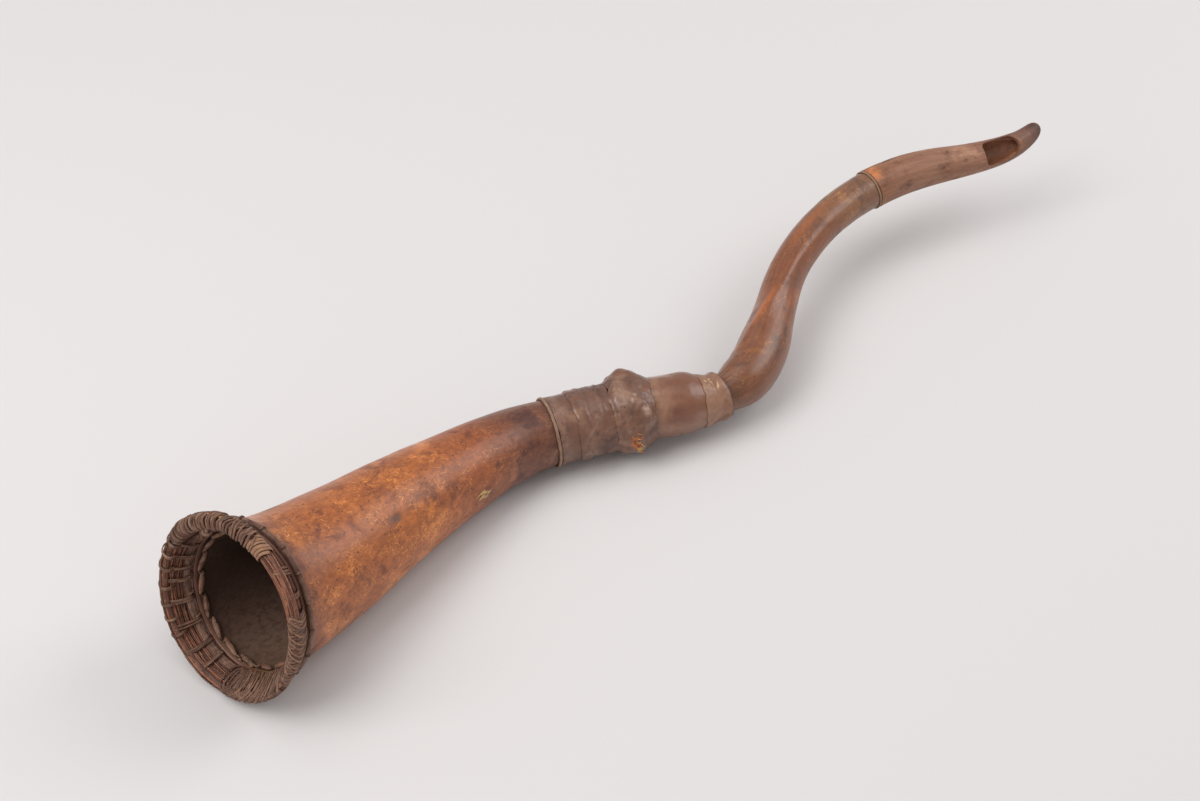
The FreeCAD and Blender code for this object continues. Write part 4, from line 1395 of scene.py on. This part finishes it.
@dataclass
class Collar:
    """The basketry collar in front of the bell's lip."""

    lip_hoop: tuple[float, float, float] = (64.7, -4.2, 2.1)
    tie_angles: tuple = (68.0, 80.0, 91.0, 101.0, 116.0, 134.0, 152.0, 166.0, 310.0, 326.0)
    knot_angle: float = 33.0
    stitch_count: int = 18
    stitch_radius: float = 55.6

    def build(self) -> None:
        """Makes the canes, the bindings, the ties, the knot and the lacing."""
        self.roll()
        self.open_side()
        self.bindings()
        self.ties()
        self.knot()
        self.lacing()

    def roll(self) -> None:
        """The bundle of canes along the collar's front, with the bark strip over its open side."""
        reach = 2.9
        nodes = ("roll_rod_outer", "roll_rod_front", "roll_rod_inner")
        for k, node in enumerate(nodes):
            canes = []
            for j in range(4):
                turn = math.radians(-30.0 + 120.0 * k + 30.0 * (j - 1.5))
                far = reach + (0.5 if j % 2 else -0.1)
                canes.append(Cane(0.0, 360.0, ROLL_AT[0] + far * math.cos(turn),
                                  ROLL_AT[1] + far * math.sin(turn), 1.15 + 0.2 * (j % 2), 1.1, 0.6,
                                  0.17 * k + 0.05 * j, wear_and_painted_light=0.15 + 0.45 * (j == 1), stain_and_painted_light=0.5 * (j == 3)))
            basket(node.replace("rod", "canes"), CANE, [node], "cane", canes)
        strips = [Cane(54.0, 186.0, ROLL_AT[0] + 4.3, ROLL_AT[1] + 2.0, 3.4, 0.9, 0.4, 0.61, wear_and_painted_light=0.1),
                  Cane(58.0, 150.0, ROLL_AT[0] + 2.6, ROLL_AT[1] + 4.2, 2.6, 0.8, 0.5, 0.67, stain_and_painted_light=0.2)]
        for k in range(6):
            angle = 62.0 + 17.0 * k
            strips.append(Cane(angle, angle + 24.0, ROLL_AT[0] + 1.6 + 1.2 * rough(k * 2.3, 1.0),
                               ROLL_AT[1] + 5.0, 1.2, 0.7, 0.9, 0.7 + 0.04 * k, wear_and_painted_light=0.3 * (k % 2),
                               stain_and_painted_light=0.3))
        basket("roll_bark_strip", BARK, [], "bark_fibre", strips)

    def open_side(self) -> None:
        """The thinner canes and the flat splint between the roll and the lip, and the outer hoop."""
        shares = {"collar_rod_1": (0.16, 0.26, 0.36), "collar_rod_2": (0.46, 0.56, 0.65)}
        for k, (node, places) in enumerate(shares.items()):
            canes = []
            for j, share in enumerate(places):
                canes += [Cane(0.0, 360.0, *across_band(share, 0.4 * (-1) ** j), 0.95, 0.85, 0.7,
                               0.23 * k + 0.09 * j, wear_and_painted_light=0.3 * (j == 1), stain_and_painted_light=0.3 * (j == 2)),
                          Cane(46.0 + 9 * j, 182.0 + 6 * j, *across_band(share + 0.05, 2.0), 0.8, 0.65,
                               0.9, 0.4 + 0.1 * k + 0.03 * j, wear_and_painted_light=0.5 * (j == 2), stain_and_painted_light=0.4 * (j == 0)),
                          Cane(48.0 + 7 * j, 122.0 + 4 * j, *across_band(share + 0.02, -2.0), 1.5, 0.6,
                               0.6, 0.55 + 0.1 * k + 0.03 * j, stain_and_painted_light=0.7)]
            basket(node.replace("rod", "canes"), CANE, [node], "cane", canes)
        loom = Loom()
        flat = (math.sin(SLOPE), -math.cos(SLOPE))
        Cane(0.0, 360.0, *across_band(0.0, 1.3), 3.6, 0.9, 0.4, 0.8, wear_and_painted_light=0.1, face=flat).weave(loom, 1)
        Cane(0.0, 360.0, *across_band(-0.08, -0.8), 1.4, 0.8, 0.4, 0.86, wear_and_painted_light=0.2).weave(loom)
        loom.finish("lip_flat_splint", [CANE, BARK], ["lip_splint"], "cane")
        radius, forward, thick = self.lip_hoop
        # The hoop's stain darkens it: painted shade, as it lies in the shadow behind the roll.
        basket("lip_outer_hoop", BARK, ["lip_rod"], "cane",
               [Cane(0.0, 360.0, radius, forward, thick, thick * 0.9, 0.3, 0.33, stain_and_painted_light=0.4)])

    def bindings(self) -> None:
        """The four wound stretches of the collar."""
        basket("top_left_winding", BARK, ["wrap_top_left"], "bark_fibre", [
            Binding(41.0, 67.0, ROLL, 9.0, 3.4, 1.3, 1.6, 1.6, 0.1, 0.11, wear_and_painted_light=0.1),
            Binding(44.0, 64.0, ROLL, 4.0, 2.4, 1.2, 3.0, 2.0, 0.8, 0.15, stain_and_painted_light=0.3)])
        basket("crown_winding", BARK, ["wrap_crown"], "bark_fibre", [
            Binding(352.0, 385.0, ROLL, 15.0, 2.5, 1.3, 1.6, 2.6, 0.0, 0.27, stain_and_painted_light=0.25),
            Binding(350.0, 369.0, ROLL, 6.0, 2.2, 1.4, -2.5, 2.4, 0.7, 0.22, wear_and_painted_light=0.2),
            Binding(378.0, 387.0, ROLL, 4.0, 2.3, 1.5, 1.6, 1.6, 0.7, 0.24),
            Binding(338.0, 350.0, ROLL, 5.0, 2.9, 1.1, 1.2, 0.5, 0.3, 0.31, wear_and_painted_light=0.6)])
        fringe = [Cane(184.0 + 2.6 * k, 184.0 + 2.6 * k + 11.0, 71.0 + 2.8 * rough(k * 1.3, 2.0),
                       20.6 + 2.6 * rough(k * 2.1, 4.0), 0.8, 0.6, 2.4, 0.51 + 0.03 * k,
                       wear_and_painted_light=0.4 * (k % 3 == 0), stain_and_painted_light=0.5 * (k % 3 == 1)) for k in range(22)]
        basket("foot_winding", BARK, ["wrap_foot"], "bark_fibre", [
            Binding(187.0, 244.0, BAND, 30.0, 2.3, 1.2, 7.0, 2.2, 0.0, 0.41),
            Binding(190.0, 238.0, BAND, 15.0, 2.0, 1.1, -7.0, 2.8, 0.5, 0.47, stain_and_painted_light=0.4),
            Binding(194.0, 230.0, BAND, 9.0, 1.8, 1.1, 11.0, 3.0, 0.9, 0.44, wear_and_painted_light=0.3), *fringe])
        basket("right_winding", BARK, ["wrap_right"], "bark_fibre", [
            Binding(248.0, 299.0, BAND, 44.0, 1.7, 1.0, 1.4, 0.9, 0.0, 0.61, wear_and_painted_light=0.1),
            Binding(250.0, 290.0, BAND, 20.0, 1.5, 1.0, -1.8, 1.6, 0.4, 0.67, stain_and_painted_light=0.4),
            Binding(258.0, 297.0, BAND, 9.0, 1.6, 1.1, 3.5, 2.0, 0.8, 0.69, wear_and_painted_light=0.4)])
        canes = []
        for k in range(14):
            turn = math.radians(-30.0 + 17.0 * k)
            reach = 4.4 + 0.4 * (k % 2)
            canes.append(Cane(292.0 + 2 * (k % 3), 342.0 - 3 * (k % 2), ROLL_AT[0] + reach * math.cos(turn),
                              ROLL_AT[1] + reach * math.sin(turn), 0.6, 0.5, 0.7, 0.12 * k,
                              wear_and_painted_light=0.5 * (k % 2), stain_and_painted_light=0.7 * (k % 3 == 0)))
        basket("bare_canes_right", CANE, [], "cane", canes)

    def ties(self) -> None:
        """Thin ties over the open side, each with a comma-shaped loop over the bark strip."""
        strips = [Binding(angle - 1.8, angle + 1.8, BAND, 2.6, 1.8, 0.8, 1.8, 1.6, 0.0, 0.71 + 0.02 * k,
                          wear_and_painted_light=0.2 * (k % 2), stain_and_painted_light=0.3 * (k % 3 == 0), first=2.2)
                  for k, angle in enumerate(self.tie_angles)]
        for k in range(7):
            angle = 66.0 + 11.5 * k + 3.0 * rough(k * 1.7, 0.6)
            strips.append(Binding(angle, angle + 6.0, ROLL, 0.8, 3.0, 0.9, 2.0, 1.0, 0.35,
                                  0.37 + 0.03 * k, wear_and_painted_light=0.25 * (k % 2), first=-0.9))
        basket("cross_tie_strands", BARK, ["cross_ties"], "bark_fibre", strips)

    def knot(self) -> None:
        """The knot where the roll's winding starts, the broken fibres over it and the loose strand."""
        loom = Loom()
        middle = MOUTH.spot(self.knot_angle, ROLL_AT[0] - 6.4, ROLL_AT[1] + 1.6)
        turn = math.radians(self.knot_angle)
        out = MOUTH.up * math.cos(turn) + MOUTH.left * math.sin(turn)
        side = MOUTH.out.cross(out)

        def path(share: float) -> tuple[Vector, Vector]:
            """A strand tied over and under itself."""
            a, b = share * TAU * 2, share * TAU * 3
            reach = 3.4 + 1.5 * math.cos(b)
            offset = side * (reach * math.cos(a)) + out * (reach * math.sin(a) * 0.9)
            offset += MOUTH.out * (2.1 * math.sin(b))
            return middle + offset * MM, (offset + MOUTH.out * 0.01).normalized()

        loom.strand(path, 110, 8, lambda share: (1.75, 1.55), closed=True, seed=0.91)
        Binding(self.knot_angle - 5.0, self.knot_angle + 8.0, ROLL, 5.0, 2.8, 1.5, 2.0, 1.8, 0.3,
                0.95).weave(loom)
        loom.finish("rim_strand_knot", [BARK], ["rim_knot"], "bark_fibre")
        fibres = []
        for k in range(22):
            angle = self.knot_angle - 12.0 + 0.75 * k + 2.0 * rough(k * 1.9, 0.4)
            fibres.append(Cane(angle + 3.0, angle - 5.0 - 2.5 * rough(k * 1.1, 9.0),
                               ROLL_AT[0] + 5.2 + rough(k * 2.7, 1.4),
                               ROLL_AT[1] + 1.6 + 2.8 * rough(k * 1.4, 6.0), 0.5, 0.35, 1.4, 0.03 * k))
        basket("broken_rim_fibres", FRESH, [], "bark_fibre", fibres)
        loom = Loom()
        ends = (MOUTH.spot(41.0, ROLL_AT[0] - 7.6, 17.6), MOUTH.spot(58.0, 57.6, 6.0))

        def strand(share: float) -> tuple[Vector, Vector]:
            """Slantwise across the open side, with a slight bow."""
            here = ends[0].lerp(ends[1], share) + MOUTH.up * (1.2 * MM * math.sin(share * math.pi))
            return here, MOUTH.out

        loom.strand(strand, 24, 8, lambda share: (1.5 - 0.3 * share, 1.2), seed=0.97, wear_and_painted_light=0.4)
        loom.finish("slanting_loose_strand", [BARK], ["loose_strand"], "bark_fibre")

    def lacing(self) -> None:
        """The stitches inside the lip, their legs through the gourd and the hooks over the hoop."""
        loom = Loom()
        back = 4.8
        for k in range(self.stitch_count):
            angle = 360.0 * k / self.stitch_count
            seed = 0.05 * k
            slant = 2.2 + 0.7 * rough(k * 1.9, 3.0)

            def stitch(share: float) -> tuple[Vector, Vector]:
                """Inside the lip, slantwise and slack in its middle."""
                far = self.stitch_radius - 0.8 * math.sin(share * math.pi)
                here = MOUTH.spot(angle - 2.0 + 19.5 * share, far, -back + slant * (share - 0.5) * 2)
                return here, MOUTH.spot(angle, far + 1, -back) - MOUTH.spot(angle, far, -back)

            loom.strand(stitch, 14, 8, lambda share: (0.8 + 1.9 * math.sin(share * math.pi) ** 0.7,
                                                      0.7 + 1.4 * math.sin(share * math.pi) ** 0.7),
                        seed=seed, wear_and_painted_light=0.25 * (k % 3))

            def leg(share: float) -> tuple[Vector, Vector]:
                """Out through the gourd and over the hoop."""
                if share < 0.5:
                    out, ahead = 54.8 + 17.0 * share, -back
                    return MOUTH.spot(angle, out, ahead), MOUTH.out
                turn = math.radians(-90.0 + 150.0 * (share - 0.5) * 2)
                hoop_out, hoop_ahead, _ = self.lip_hoop
                here = MOUTH.spot(angle, hoop_out + 2.7 * math.cos(turn), hoop_ahead + 2.7 * math.sin(turn))
                return here, MOUTH.out

            # The legs' stain darkens them and their hooks: painted shade, as the hooks lie in the shadow
            # behind the roll.
            loom.strand(leg, 18, 6, lambda share: (0.9, 0.7), seed=seed + 0.02, stain_and_painted_light=0.3)
        loom.finish("lip_lace_stitches", [BARK], ["lip_lacing"], "bark_fibre")
        bits = []
        for k in range(9):
            angle = 178.0 + 3.1 * k
            bits.append(Cane(angle, angle + 3.4 + 1.5 * rough(k * 1.7, 0.2),
                             54.6 + 1.6 * rough(k * 2.9, 1.0),
                             -2.0 + 2.4 * rough(k * 1.3, 5.0), 1.1, 0.8, 2.0, 0.04 * k,
                             wear_and_painted_light=0.5 * (k % 2)))
        basket("broken_lace_bits", INNER_BIT, [], "bark_fibre", bits)


# ---------------------------------------------------------------- the studio
@dataclass
class Studio:
    """A plain pale floor, soft light from both sides and the camera."""

    lens: float = 70.0
    sensor: float = 36.0
    tilt: float = 45.0
    turn: float = -40.02
    reach: tuple[float, float, float] = (-519.5, -1047.0, 1355.5)
    floor_size: float = 14.0

    def build(self) -> None:
        """Sets up the floor, the lights and the camera."""
        self.floor()
        centre = Vector((0.0, 0.0, 0.05))
        self.lamp("left_softbox", (-1.9, 0.5, 2.3), centre, 1.8, 40.0)
        self.lamp("right_softbox", (2.1, -0.7, 1.9), centre, 1.8, 28.0)
        self.lamp("top_softbox", (-0.2, 0.9, 2.9), centre, 2.2, 16.0)
        world = bpy.data.worlds.new("studio")
        world.use_nodes = True
        background = world.node_tree.nodes["Background"]
        background.inputs["Color"].default_value = (1.0, 0.985, 0.985, 1.0)
        background.inputs["Strength"].default_value = 0.5
        bpy.context.scene.world = world
        bpy.context.scene.view_settings.view_transform = "Standard"
        view = bpy.data.cameras.new("camera")
        view.lens, view.sensor_width = self.lens, self.sensor
        view.clip_end = 50.0
        camera = in_scene("camera", view)
        camera.location = (ORIGIN + SPINE.centre(-20.0) + Vector(self.reach)) * MM
        camera.rotation_euler = Euler((math.radians(self.tilt), 0.0, math.radians(self.turn)))
        bpy.context.scene.camera = camera

    def floor(self) -> None:
        """A pale floor."""
        mesh = bmesh.new()
        bmesh.ops.create_grid(mesh, x_segments=1, y_segments=1, size=self.floor_size / 2)
        data = mesh_data(mesh, "floor")
        floor = in_scene("floor", data)
        paper = bpy.data.materials.new("pale_paper")
        paper.use_nodes = True
        surface = paper.node_tree.nodes["Principled BSDF"]
        surface.inputs["Base Color"].default_value = tint(219, 216, 215)
        surface.inputs["Roughness"].default_value = 0.9
        surface.inputs["Specular IOR Level"].default_value = 0.1
        data.materials.append(paper)

    def lamp(self, name: str, place: tuple, target: Vector, size: float, power: float) -> None:
        """A square soft light.

        Args:
            name: its name.
            place: where it stands.
            target: what it points at.
            size: its side in metres.
            power: watts.
        """
        light = bpy.data.lights.new(name, "AREA")
        light.shape, light.size, light.energy = "SQUARE", size, power
        lamp = in_scene(name, light)
        lamp.location = place
        lamp.rotation_euler = (target - Vector(place)).to_track_quat("-Z", "Y").to_euler()


def dress_inner_nodes() -> None:
    """Gives the two hidden CAD pieces, which keep their shape, their own finishes."""
    for node, finish in (("joint_packing", INNER_FIBRE), ("joint_gum", INNER_GUM)):
        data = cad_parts[node].data
        data.materials.clear()
        data.materials.append(finish.material())
        LOG.info("%s: kept from the CAD model", node)


def main() -> None:
    """Builds the horn's pieces and the studio."""
    logging.basicConfig(level=logging.INFO, format="%(message)s")
    for piece in (Bell(), Neck(), MouthTube(), SocketBead(), JointHide(), Collar(), Studio()):
        piece.build()
    dress_inner_nodes()


if __name__ == "__main__":
    main()
